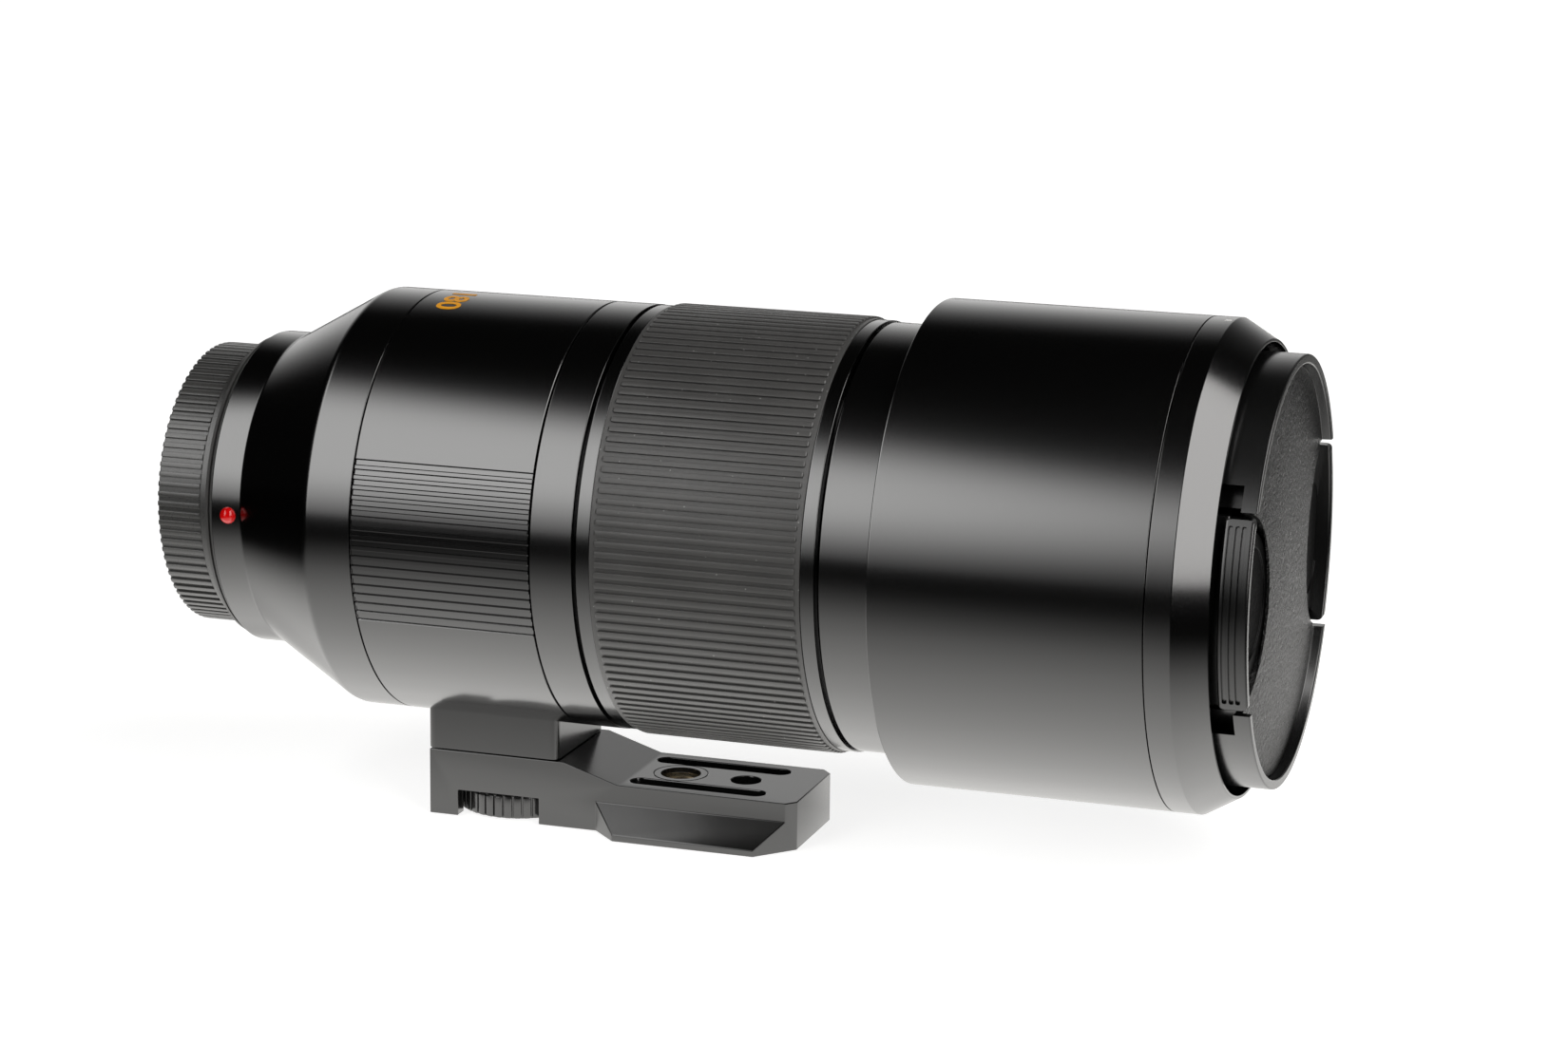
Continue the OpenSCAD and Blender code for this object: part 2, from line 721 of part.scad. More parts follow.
module rear_barrel() color(black) {
    slope = atan((barrel_r - rear_r) / cone_len);
    inner_foot = rear_len + rear_wall * tan(slope / 2);
    inner_top = inner_foot + (main_in - rear_in) / tan(slope);
    difference() {
        turned(concat([[flange_t, rear_r - edge], [flange_t + edge, rear_r]],
            blend_arc(rear_len, rear_r, blend_r, slope, 5),
            [[rear_len + cone_len, barrel_r], [rear_end_x - edge, barrel_r], [rear_end_x, barrel_r - edge],
            [rear_end_x, main_r + fit], [main_x, main_r + fit], [main_x, main_in], [inner_top, main_in],
            [inner_foot, rear_in], [end_wall_x, rear_in], [end_wall_x, rear_cell_r + fit],
            [flange_t, rear_cell_r + fit]]));
        for (i = [0 : mount_screw_count - 1])
            on_axis((i + 0.5) * 360 / mount_screw_count)
                translate([screw_circle_r, 0, flange_t - over])
                    cylinder(h = end_wall + 2 * over, r = screw_shank_r + fit);
        radial_pin(bead_x, bead_clock, bead_r + fit, rear_r - bead_seat - fit, rear_r + over);
    }
}

module index_bead() color("red")
    on_axis(bead_clock, bead_x)
        translate([rear_r - bead_seat, 0, 0])
            rotate([0, 90, 0]) {
                cylinder(h = bead_seat - edge, r = bead_r);
                translate([0, 0, bead_seat - edge])
                    sphere(r = bead_r);
            }

module main_barrel() color(black)
    difference() {
        ring(main_x, main_end_x, main_in, main_r);
        sector(key_x - run, key_x + key_len + run, main_in - over, main_r + over,
            zoom_angle + 2 * key_angle, key_clock + zoom_angle / 2);
    }

module mid_ring() color(black)
    trim_ring(mid_x, mid_x + mid_len, main_r + fit, barrel_r);

module front_barrel() color(black)
    turned([[front_x, main_r + fit], [main_end_x, main_r + fit], [main_end_x, neck_in],
        [neck_end_x, neck_in], [neck_end_x, neck_r], [front_x + front_band, neck_r],
        [front_x + front_band, front_r - edge], [front_x + front_band - edge, front_r],
        [front_x + edge, front_r], [front_x, front_r - edge]]);

module filter_ring() color(black) {
    turned([[filter_x, neck_r + fit], [neck_end_x, neck_r + fit], [neck_end_x, neck_in],
        [neck_end_x + filter_sill, neck_in], [neck_end_x + filter_sill, filter_r], [lens_x, filter_r],
        [lens_x, front_r - edge], [lens_x - edge, front_r], [filter_x, front_r]]);
    for (i = [0 : hood_lugs - 1])
        sector(lens_x - hood_lug_back - hood_lug_t, lens_x - hood_lug_back, filter_r + over, hood_lug_r,
            hood_lug_angle, i * 360 / hood_lugs);
}

// The fixed optics
module front_cell() color(black) {
    cell_out = neck_in - fit;
    seat_in = front_lens_r - lens_seat;
    second_x = guide_end_x + guide_flange;
    front_seat_x = guide_end_x + front_cell_len - retaining_w - front_lens_t;
    turned([[guide_end_x, seat_in], [second_x, seat_in], [second_x, front_lens_r + fit],
        [second_x + second_lens_t, front_lens_r + fit], [second_x + second_lens_t, seat_in],
        [front_seat_x, seat_in], [front_seat_x, front_lens_r + fit],
        [guide_end_x + front_cell_len, front_lens_r + fit], [guide_end_x + front_cell_len, cell_out],
        [guide_end_x, cell_out]]);
}

module front_lens() color(glass)
    element(guide_end_x + front_cell_len - retaining_w - front_lens_t,
        guide_end_x + front_cell_len - retaining_w, front_lens_r, -lens_seat, front_lens_swell);

module second_lens() color(glass)
    element(guide_end_x + guide_flange, guide_end_x + guide_flange + second_lens_t, front_lens_r, -lens_seat,
        -lens_seat);

module front_retainer() color(black)
    ring(guide_end_x + front_cell_len - retaining_w + seam, guide_end_x + front_cell_len,
        front_lens_r - lens_seat / 2, front_lens_r);

module rear_cell() color(black)
    turned([[rear_cell_x, rear_lens_r - lens_seat], [end_wall_x, rear_lens_r - lens_seat],
        [end_wall_x, rear_lens_r + fit], [rear_cell_end_x, rear_lens_r + fit], [rear_cell_end_x, rear_cell_r],
        [board_x, rear_cell_r], [board_x, rear_in - fit], [end_wall_x, rear_in - fit],
        [end_wall_x, rear_cell_r], [rear_cell_x, rear_cell_r]]);

module rear_lens() color(glass)
    element(end_wall_x, end_wall_x + rear_lens_t, rear_lens_r, -lens_seat, lens_seat);

module circuit_board() color("darkgreen")
    ring(board_x, board_x + board_t, rear_cell_r + fit, rear_cell_r + board_w);

module relay_cell() color(black)
    difference() {
        turned([[relay_x, relay_lens_r - lens_seat], [relay_x + lens_seat, relay_lens_r - lens_seat],
            [relay_x + lens_seat, relay_lens_r + fit], [guide_x, relay_lens_r + fit],
            [guide_x, main_in - fit], [relay_flange_x, main_in - fit], [relay_flange_x, relay_r],
            [relay_x, relay_r]]);
        for (side = [-1, 1])
            translate([relay_x - over, side * rod_circle_r, 0])
                rotate([0, 90, 0])
                    cylinder(h = relay_wall + over, r = rod_r + fit);
    }

module relay_lens() color(glass)
    element(relay_x + lens_seat, relay_x + lens_seat + relay_lens_t, relay_lens_r, -lens_seat, lens_seat);

module iris_base() color(black)
    turned([[guide_x, guide_in - fit - iris_w], [guide_x + iris_len / 2, guide_in - fit - iris_w],
        [guide_x + iris_len / 2, guide_in - fit - iris_wall],
        [guide_x + iris_len, guide_in - fit - iris_wall],
        [guide_x + iris_len, guide_in - fit], [guide_x, guide_in - fit]]);

module iris_blades() color(dark_plastic)
    for (i = [0 : blade_count - 1])
        sector(guide_x + iris_len / 2 + (i % 3) * (blade_t + fit),
            guide_x + iris_len / 2 + (i % 3) * (blade_t + fit) + blade_t,
            guide_in - iris_w, guide_in - 2 * iris_wall, blade_angle, i * 360 / blade_count);

module iris_cover() color(black)
    ring(guide_x + iris_len / 2 + 3 * (blade_t + fit), guide_x + iris_len, guide_in - fit - iris_w,
        guide_in - iris_wall - 2 * fit);

// The zoom mechanism
module guide_tube() color(steel)
    difference() {
        turned([[guide_x, guide_in], [guide_end_x, guide_in], [guide_end_x, neck_in - fit],
            [guide_end_x - guide_flange, neck_in - fit], [guide_end_x - guide_flange, guide_r],
            [guide_x + guide_flange, guide_r], [guide_x + guide_flange, main_in - fit],
            [guide_x, main_in - fit]]);
        for (i = [0 : 2]) {
            guide_slot(variator_x, variator_travel, i * third);
            guide_slot(compensator_x, compensator_travel, (i + 0.5) * third);
        }
    }

module guide_slot(rest_x, travel, clock)
    on_axis(clock, min(rest_x, rest_x + travel) - roller_slot)
        translate([guide_in - over, -roller_slot / 2, 0])
            cube([guide_wall + 2 * over, roller_slot, abs(travel) + 2 * roller_slot]);

module cam_retainer() color(steel)
    ring(cam_end_x + run, cam_end_x + run + retainer_w, guide_r + fit, cam_r);

module cam_barrel() color([0.45, 0.45, 0.47])
    difference() {
        ring(cam_x, cam_end_x, cam_in, cam_r);
        for (i = [0 : 2]) {
            cam_slot(variator_x, variator_travel, i * third);
            cam_slot(compensator_x, compensator_travel, (i + 0.5) * third);
        }
    }

// A slot of constant lead that drives a roller along its guide slot as the barrel turns
module cam_slot(rest_x, travel, clock) {
    degrees_per_mm = zoom_angle / travel;
    low = min(rest_x, rest_x + travel) - slot_end;
    high = max(rest_x, rest_x + travel) + slot_end;
    lead_angle = atan(abs(travel) / (zoom_angle * PI / 180 * (cam_in + cam_wall / 2)));
    width = roller_slot / sin(lead_angle);
    on_axis(clock - (low - rest_x) * degrees_per_mm, low)
        linear_extrude(height = high - low, twist = (high - low) * degrees_per_mm, slices = 24, $fn = 4)
            translate([cam_in - 2 * over, -width / 2])
                square([cam_wall + 4 * over, width]);
}

module zoom_sleeve() color(black)
    difference() {
        turned([[zoom_x, collar_in], [zoom_x + zoom_len, collar_in], [zoom_x + zoom_len, zoom_r - edge],
            [zoom_x + zoom_len - edge, zoom_r], [zoom_x + zoom_len - zoom_rim, zoom_r],
            [zoom_x + zoom_len - zoom_rim, grip_r - grip_t], [zoom_x + zoom_rim, grip_r - grip_t],
            [zoom_x + zoom_rim, zoom_r], [zoom_x + edge, zoom_r], [zoom_x, zoom_r - edge]]);
        sector(key_x - fit, key_x + key_len + fit, collar_in - over, key_r + fit, key_angle + run, key_clock);
    }

module zoom_grip() color(dark_rubber)
    ribbed_tube(zoom_x + zoom_rim, zoom_x + zoom_rim + grip_len, grip_band, grip_r - grip_t + fit, grip_r,
        rib_depth, grip_ribs);

module zoom_key() color(steel)
    sector(key_x, key_x + key_len, cam_r + fit, key_r, key_angle, key_clock);

module group_cell(rest_x, first_clock) color(black)
    difference() {
        turned([[rest_x - cell_len / 2, group_lens_r - lens_seat],
            [rest_x - group_lens_t / 2, group_lens_r - lens_seat],
            [rest_x - group_lens_t / 2, group_lens_r + fit], [rest_x + cell_len / 2, group_lens_r + fit],
            [rest_x + cell_len / 2, cell_r], [rest_x - cell_len / 2, cell_r]]);
        for (i = [0 : 2])
            radial_pin(rest_x, first_clock + i * third, stud_r + fit, cell_r - stud_len, cell_r + over);
    }

module group_rollers(rest_x, first_clock) color(brass)
    for (i = [0 : 2]) {
        radial_pin(rest_x, first_clock + i * third, stud_r, cell_r - stud_len, guide_in);
        radial_pin(rest_x, first_clock + i * third, roller_r, cell_r + fit, cam_r - run);
    }

module variator_cell()
    group_cell(variator_x, 0);

module variator_lens() color(glass)
    element(variator_x - group_lens_t / 2, variator_x + group_lens_t / 2, group_lens_r, -lens_seat,
        -lens_seat);

module variator_rollers()
    group_rollers(variator_x, 0);

module compensator_cell()
    group_cell(compensator_x, third / 2);

module compensator_lens() color(glass)
    element(compensator_x - group_lens_t / 2, compensator_x + group_lens_t / 2, group_lens_r, -lens_seat,
        2 * lens_seat);

module compensator_rollers()
    group_rollers(compensator_x, third / 2);

// The focus ring and the focus group
module focus_sleeve() color(black)
    turned([[focus_x, focus_in], [focus_x + focus_len, focus_in], [focus_x + focus_len, focus_rim_r - edge],
        [focus_x + focus_len - edge, focus_rim_r], [focus_x + focus_len - focus_rim, focus_rim_r],
        [focus_x + focus_len - focus_rim, focus_grip_r - focus_grip_t],
        [focus_x + focus_rim, focus_grip_r - focus_grip_t], [focus_x + focus_rim, focus_rim_r],
        [focus_x + edge, focus_rim_r], [focus_x, focus_rim_r - edge]]);

module focus_grip() color(dark_rubber)
    ribbed_tube(focus_x + focus_rim, focus_x + focus_len - focus_rim, grip_band,
        focus_grip_r - focus_grip_t + fit, focus_grip_r, rib_depth, grip_ribs);

module focus_rods() color(steel)
    for (side = [-1, 1])
        translate([board_x, side * rod_circle_r, 0])
            rotate([0, 90, 0])
                cylinder(h = relay_x + relay_wall - board_x, r = rod_r);

module focus_cell() color(black)
    difference() {
        union() {
            disc(focus_cell_x, focus_cell_x + focus_cell_len, focus_cell_r);
            translate([focus_cell_x, -rod_circle_r, -rod_r])
                cube([focus_cell_len, 2 * rod_circle_r, 2 * rod_r]);
            for (side = [-1, 1])
                translate([focus_cell_x, side * rod_circle_r, 0])
                    rotate([0, 90, 0])
                        cylinder(h = focus_cell_len, r = rod_eye_r);
        }
        disc(focus_cell_x - over, focus_cell_x + focus_cell_len + over, focus_lens_r - lens_seat);
        disc(focus_cell_x + lens_seat, focus_cell_x + focus_cell_len + over, focus_lens_r + fit);
        for (side = [-1, 1])
            translate([focus_cell_x - over, side * rod_circle_r, 0])
                rotate([0, 90, 0])
                    cylinder(h = focus_cell_len + 2 * over, r = rod_r + fit);
    }

module focus_lens() color(glass)
    element(focus_cell_x + lens_seat, focus_cell_x + lens_seat + focus_lens_t, focus_lens_r, -lens_seat / 2,
        -lens_seat);

module focus_magnets() color([0.5, 0.5, 0.52])
    for (clock = [0, 180])
        on_axis(clock, board_x)
            translate([magnet_r, -magnet_w / 2, 0])
                cube([magnet_t, magnet_w, relay_x - board_x]);

module focus_coils() color("peru")
    for (clock = [0, 180])
        difference() {
            on_axis(clock, focus_cell_x)
                translate([focus_cell_r - over, -magnet_w / 2, 0])
                    cube([magnet_r - run - focus_cell_r + over, magnet_w, focus_cell_len]);
            disc(focus_cell_x - over, focus_cell_x + focus_cell_len + over, focus_cell_r + fit);
        }

// The tripod collar and its foot
module tripod_collar() color(black)
    difference() {
        union() {
            turned([[collar_x, 0], [collar_x, barrel_r - edge], [collar_x + edge, barrel_r],
                [collar_x + collar_len - edge, barrel_r], [collar_x + collar_len, barrel_r - edge],
                [collar_x + collar_len, 0]]);
            translate([0, 0, -lug_drop])
                linear_extrude(height = lug_drop)
                    polygon(chamfered(lug_x, lug_len, foot_w, lug_edge));
            radial_pin(wheel_axis_x, 90, boss_r, 0, barrel_r + boss_h);
        }
        disc(collar_x - over, collar_x + collar_len + over, collar_in);
        for (i = [0 : collar_grooves - 1])
            on_axis(collar_groove_clock + (i - (collar_grooves - 1) / 2) * collar_groove_angle,
                collar_x - over)
                translate([barrel_r - collar_groove_depth, -collar_groove_w / 2, 0])
                    cube([2 * over, collar_groove_w, collar_len + 2 * over]);
        translate([wheel_axis_x, 0, -lug_drop - over])
            cylinder(h = lug_h + run + over, r = screw_r + fit);
        dowel_holes();
        radial_pin(wheel_axis_x, 90, lock_r + fit, collar_in - over, barrel_r + boss_h + over);
    }

// A rectangle with cut corners, from x along the axis and centred across it
function chamfered(x, length, width, cut) = [[x + cut, -width / 2], [x + length - cut, -width / 2],
    [x + length, cut - width / 2], [x + length, width / 2 - cut], [x + length - cut, width / 2],
    [x + cut, width / 2], [x, width / 2 - cut], [x, cut - width / 2]];

module dowel_holes()
    for (x = [lug_x + dowel_inset, lug_x + lug_len - dowel_inset])
        translate([x, 0, -lug_drop - dowel_half - foot_joint])
            cylinder(h = 2 * dowel_half + 2 * foot_joint, r = dowel_r + fit);

module foot_dowels() color(steel)
    for (x = [lug_x + dowel_inset, lug_x + lug_len - dowel_inset])
        translate([x, 0, -lug_drop - dowel_half])
            cylinder(h = 2 * dowel_half, r = dowel_r);

module tripod_foot() color(black)
    difference() {
        intersection() {
            rotate([90, 0, 0])
                linear_extrude(height = dovetail_w, center = true)
                    polygon([[foot_x, foot_base], [foot_x + foot_len, foot_base],
                        [foot_x + foot_len, plate_top], [foot_x + foot_block + foot_slope, plate_top],
                        [foot_x + foot_block, foot_top], [foot_x, foot_top]]);
            translate([0, 0, foot_base])
                linear_extrude(height = foot_h)
                    polygon(concat(foot_side(1), foot_side(-1)));
            translate([foot_x, 0, 0])
                rotate([90, 0, 90])
                    linear_extrude(height = foot_len)
                        polygon([[-dovetail_w / 2, foot_base], [dovetail_w / 2, foot_base],
                            [dovetail_w / 2, foot_base + lip_h], [foot_w / 2, foot_base + dovetail_h],
                            [foot_w / 2, foot_top], [-foot_w / 2, foot_top],
                            [-foot_w / 2, foot_base + dovetail_h], [-dovetail_w / 2, foot_base + lip_h]]);
        }
        translate([wheel_axis_x, 0, foot_base - over]) {
            cylinder(h = wheel_roof - foot_base + over, r = wheel_r + seam);
            cylinder(h = foot_h + 2 * over, r = screw_r + fit);
        }
        translate([wheel_axis_x - wheel_slot / 2, -dovetail_w / 2, foot_base - over])
            cube([wheel_slot, dovetail_w, wheel_roof - foot_base + over]);
        dowel_holes();
        translate([foot_x + thread_large_x, 0, foot_base - over])
            cylinder(h = plate_t + 2 * over, r = thread_large_r + insert_wall + fit);
        translate([foot_x + thread_large_x + thread_pitch, 0, foot_base - over])
            cylinder(h = plate_t + 2 * over, r = thread_small_r);
        for (side = [-1, 1])
            translate([foot_x + foot_len - pocket_len - nose_len - over, side * pocket_y, plate_top])
                long_pocket();
    }

// One long side of the foot's plan, from the front on the +Y side and from the rear on the other
function foot_side(side) = let (points = [[foot_x + foot_len, nose_w / 2],
    [foot_x + foot_len - nose_len, dovetail_w / 2], [foot_x + dovetail_start + lip_rise, dovetail_w / 2],
    [foot_x + dovetail_start, foot_w / 2], [foot_x, foot_w / 2]])
    [for (i = [0 : 4]) let (p = points[side > 0 ? i : 4 - i]) [p[0], side * p[1]]];

module long_pocket()
    translate([pocket_w / 2, 0, -pocket_depth]) {
        cylinder(h = pocket_depth + over, d = pocket_w);
        translate([0, -pocket_w / 2, 0])
            cube([pocket_len - pocket_w, pocket_w, pocket_depth + over]);
        translate([pocket_len - pocket_w, 0, 0])
            cylinder(h = pocket_depth + over, d = pocket_w);
    }

module thread_insert() color(brass)
    translate([foot_x + thread_large_x, 0, foot_base])
        difference() {
            cylinder(h = plate_t, r = thread_large_r + insert_wall);
            translate([0, 0, -over])
                cylinder(h = plate_t + 2 * over, r = thread_large_r);
        }

module foot_wheel() color(black)
    translate([wheel_axis_x, 0, foot_base + run])
        difference() {
            linear_extrude(height = wheel_t)
                polygon(toothed(wheel_r, wheel_tooth, wheel_teeth, wheel_share));
            translate([0, 0, -over])
                cylinder(h = wheel_t + 2 * over, r = screw_r + fit);
        }

module foot_screw() color(steel)
    translate([wheel_axis_x, 0, foot_base + run])
        cylinder(h = foot_h + lug_h - run, r = screw_r);

module lock_knob() color(black)
    translate([wheel_axis_x, barrel_r + boss_h + run, 0])
        rotate([-90, 0, 0])
            difference() {
                linear_extrude(height = knob_h)
                    polygon(toothed(knob_r, knob_flute, knob_flutes, rib_share));
                translate([0, 0, -over])
                    cylinder(h = knob_h / 2 + over, r = lock_r + fit);
            }

module lock_screw() color(steel)
    radial_pin(wheel_axis_x, 90, lock_r, main_r + 2 * run, barrel_r + boss_h + run + knob_h / 2);

// The hood
module hood_tube() color(black)
    trim_ring(hood_seam_x - hood_tube_len, hood_seam_x, hood_in, hood_r);

module hood_ring() color(black) {
    turned([[hood_seam_x - hood_spigot, hood_bore], [hood_end_x, hood_bore],
        [hood_end_x, hood_r - hood_drop], [hood_end_x - hood_chamfer, hood_r], [hood_seam_x + edge, hood_r],
        [hood_seam_x, hood_r - edge], [hood_seam_x, hood_in - fit],
        [hood_seam_x - hood_spigot, hood_in - fit]]);
    for (i = [0 : hood_lugs - 1])
        sector(lens_x - hood_lug_back - seam - 2 * hood_lug_t, lens_x - hood_lug_back - seam - hood_lug_t,
            front_r + seam, hood_bore + over, hood_lug_angle, i * 360 / hood_lugs);
}

// The rear cap
module rear_cap() color(dark_plastic) {
    mouth_x = -seam;
    rear_x = -rear_cap_len;
    lug_front_x = mount_lug_t - bayonet_len + seam + rear_cap_lug_t;
    difference() {
        union() {
            on_axis(0, rear_x)
                linear_extrude(height = rear_cap_len - rear_cap_band - seam)
                    polygon(toothed(rear_cap_r - fit, rear_cap_rib_depth, rear_cap_ribs, rib_share));
            disc(mouth_x - rear_cap_band, mouth_x, rear_cap_r);
        }
        disc(rear_x + rear_cap_floor, over, rear_cap_in);
    }
    for (i = [0 : mount_lugs - 1])
        sector(lug_front_x - rear_cap_lug_t, lug_front_x, bayonet_r + seam, rear_cap_in + over,
            mount_lug_angle, i * 360 / mount_lugs);
}

// The front cap and its pinch latches
module cap_body() color(dark_plastic)
    difference() {
        union() {
            turned([[spigot_x, cap_in], [spigot_x, spigot_r], [cap_skirt_x, spigot_r],
                [cap_skirt_x, cap_r - edge], [cap_skirt_x + edge, cap_r], [cap_end_x - edge, cap_r],
                [cap_end_x, cap_r - edge], [cap_end_x, cap_r - cap_rim_w],
                [cap_face_x, cap_r - cap_rim_w - edge], [cap_face_x, 0], [cap_roof_x, 0],
                [cap_roof_x, cap_in]]);
            translate([latch_floor_x, -hub_half, -tongue_half])
                cube([cap_roof_x - latch_floor_x + edge, 2 * hub_half, 2 * tongue_half]);
        }
        for (turn = [0, 180])
            rotate([turn, 0, 0]) {
                translate([cap_roof_x - over, -recess_offset, 0])
                    rotate([0, 90, 0])
                        cylinder(h = cap_end_x, r = recess_r);
                intersection() {
                    ring(spigot_x - over, cap_end_x + over, latch_in - latch_travel - latch_gap, 2 * cap_r);
                    translate([0, -2 * cap_r, -latch_half - latch_gap])
                        cube([2 * cap_end_x, 2 * cap_r, 2 * (latch_half + latch_gap)]);
                }
            }
    }

module cap_latch() color(dark_plastic)
    difference() {
        union() {
            intersection() {
                union() {
                    ring(latch_floor_x, cap_end_x, latch_in, cap_r);
                    ring(spigot_x, latch_floor_x + recess_wall, cap_in, spigot_r + run);
                }
                translate([0, -2 * cap_r, -latch_half])
                    cube([2 * cap_end_x, 2 * cap_r, 2 * latch_half]);
            }
            intersection() {
                translate([latch_floor_x, -recess_offset, 0])
                    rotate([0, 90, 0])
                        difference() {
                            cylinder(h = latch_cup_x - latch_floor_x, r = recess_out);
                            translate([0, 0, recess_wall])
                                cylinder(h = cap_end_x, r = recess_r);
                        }
                disc(latch_floor_x - over, cap_end_x + over, latch_in + edge);
            }
            translate([latch_floor_x, -recess_offset + recess_r, -tongue_half])
                cube([recess_wall, recess_offset - recess_r - tongue_end, 2 * tongue_half]);
            translate([latch_floor_x, -tongue_end - recess_wall, -tongue_half])
                cube([latch_cup_x - latch_floor_x, recess_wall, 2 * tongue_half]);
        }
        for (i = [0 : latch_grooves - 1])
            intersection() {
                ring(latch_floor_x + (i + 1.5) * latch_pitch, latch_floor_x + (i + 2) * latch_pitch,
                    cap_r - latch_groove_depth, 2 * cap_r);
                translate([0, -2 * cap_r, -latch_half * recess_r / recess_out])
                    cube([2 * cap_end_x, 2 * cap_r, 2 * latch_half * recess_r / recess_out]);
            }
    }

module cap_latch_near()
    cap_latch();

module cap_latch_far()
    rotate([180, 0, 0])
        cap_latch();

// A coil spring along Y, drawn as one tube of six sides
ring_per_turn = 8;
spring_rings = spring_turns * ring_per_turn;
wire_sides = 6;
spring_from = -tongue_end + wire_r + 2 * fit;
spring_to = -hub_half - wire_r - 2 * fit;

function coil_point(i) = let (a = 360 * i / ring_per_turn)
    [spring_x + spring_r * cos(a), spring_from + (spring_to - spring_from) * i / spring_rings,
        spring_r * sin(a)];

function wire_point(i, k) = let (a = 360 * i / ring_per_turn, b = 360 * k / wire_sides)
    coil_point(i) + wire_r * [cos(b) * cos(a), sin(b), cos(b) * sin(a)];

function ring_index(i, k) = i * wire_sides + k % wire_sides;

least_gap = min([for (i = [0 : spring_rings - 1]) for (j = [i + ring_per_turn / 2 : spring_rings])
    norm(coil_point(i) - coil_point(j))]) - 2 * wire_r;

module cap_spring() {
    echo(least_gap_of_spring = least_gap);
    polyhedron(
        points = [for (i = [0 : spring_rings]) for (k = [0 : wire_sides - 1]) wire_point(i, k)],
        faces = concat(
            [for (i = [0 : spring_rings - 1]) for (k = [0 : wire_sides - 1]) for (half = [0, 1])
                half == 0 ? [ring_index(i, k), ring_index(i, k + 1), ring_index(i + 1, k)]
                    : [ring_index(i, k + 1), ring_index(i + 1, k + 1), ring_index(i + 1, k)]],
            [for (k = [1 : wire_sides - 2]) [0, k + 1, k]],
            [for (k = [1 : wire_sides - 2]) [ring_index(spring_rings, 0), ring_index(spring_rings, k),
                ring_index(spring_rings, k + 1)]]));
}

module cap_spring_near() color(steel)
    cap_spring();

module cap_spring_far() color(steel)
    rotate([180, 0, 0])
        cap_spring();

bayonet_mount();
mount_screws();
contact_block();
contact_pins();
mount_seal();
rear_baffle();
rear_barrel();
index_bead();
main_barrel();
mid_ring();
front_barrel();
filter_ring();
front_cell();
front_lens();
second_lens();
front_retainer();
rear_cell();
rear_lens();
circuit_board();
focus_rods();
focus_magnets();
relay_cell();
relay_lens();
iris_base();
iris_blades();
iris_cover();
guide_tube();
cam_retainer();
tripod_collar();
tripod_foot();
thread_insert();
foot_dowels();
foot_wheel();
foot_screw();
lock_knob();
lock_screw();
zoom_sleeve();
zoom_grip();
cam_barrel();
zoom_key();
variator_cell();
variator_lens();
variator_rollers();
compensator_cell();
compensator_lens();
compensator_rollers();
focus_sleeve();
focus_grip();
focus_cell();
focus_lens();
focus_coils();
hood_tube();
hood_ring();
rear_cap();
cap_body();
cap_latch_near();
cap_latch_far();
cap_spring_near();
cap_spring_far();
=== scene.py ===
"""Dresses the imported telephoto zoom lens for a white-table studio picture.

Sizes in the classes are millimetres in the frame of the solids: X is the optical axis, X = 0 is the face of
the bayonet flange, +Z is up and the tripod foot points down. Clock angles run round the axis: 0 is down, 90 is
+Y, 180 is up and 270 is -Y. Meshes are made in metres.
"""

import logging
import math
from dataclasses import dataclass
from enum import Enum
from typing import Callable, Optional, Sequence

import bmesh
import bpy
from mathutils import Matrix, Vector


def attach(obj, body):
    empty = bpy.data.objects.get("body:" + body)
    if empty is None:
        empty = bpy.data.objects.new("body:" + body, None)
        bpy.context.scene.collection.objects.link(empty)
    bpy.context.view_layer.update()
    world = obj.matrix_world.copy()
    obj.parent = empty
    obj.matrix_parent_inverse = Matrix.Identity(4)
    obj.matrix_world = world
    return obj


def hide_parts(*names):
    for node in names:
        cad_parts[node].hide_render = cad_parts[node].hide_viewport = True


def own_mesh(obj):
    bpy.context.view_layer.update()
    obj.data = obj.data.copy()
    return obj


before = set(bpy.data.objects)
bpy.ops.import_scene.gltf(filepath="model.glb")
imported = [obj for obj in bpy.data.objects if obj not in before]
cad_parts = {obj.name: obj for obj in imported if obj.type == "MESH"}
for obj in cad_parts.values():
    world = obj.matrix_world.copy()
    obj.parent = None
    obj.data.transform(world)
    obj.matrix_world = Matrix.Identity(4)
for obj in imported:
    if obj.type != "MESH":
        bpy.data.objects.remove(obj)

MM = 0.001
Mesh = bpy.types.Mesh
Material = bpy.types.Material
Socket = bpy.types.NodeSocket
Point = tuple[float, float]
Triple = tuple[float, float, float]
ROUND_STEPS = 4
CORNER = ROUND_STEPS + 3
log = logging.getLogger("lens")


class Body(Enum):
    """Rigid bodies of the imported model."""

    BARREL = "barrel"
    COLLAR = "collar"
    FOOT_WHEEL = "foot_wheel"
    LOCK_KNOB = "lock_knob"
    ZOOM = "zoom"
    FOCUS_RING = "focus_ring"
    HOOD = "hood"
    REAR_CAP = "rear_cap"
    FRONT_CAP = "front_cap"
    LATCH_NEAR = "cap_latch_near"
    LATCH_FAR = "cap_latch_far"


class Slot(Enum):
    """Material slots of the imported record."""

    ANODISED = "black_anodised"
    HOOD = "hood_black"
    RUBBER = "ribbed_rubber"
    PLASTIC = "cap_plastic"
    STEEL = "screw_steel"
    BRASS = "brass"
    BEAD = "red_bead"


class Cut(Enum):
    """What is kept of a mesh that is cut."""

    OUTSIDE = "DIFFERENCE"
    INSIDE = "INTERSECT"


class Side(Enum):
    """The two sides of the lens, as the sign of Y."""

    NEAR = -1
    FAR = 1

    @property
    def label(self) -> str:
        """The side's name in the names of pieces."""
        return self.name.lower()

    @property
    def clock(self) -> float:
        """The side's clock angle."""
        return 180.0 - 90.0 * self.value


# Finishes


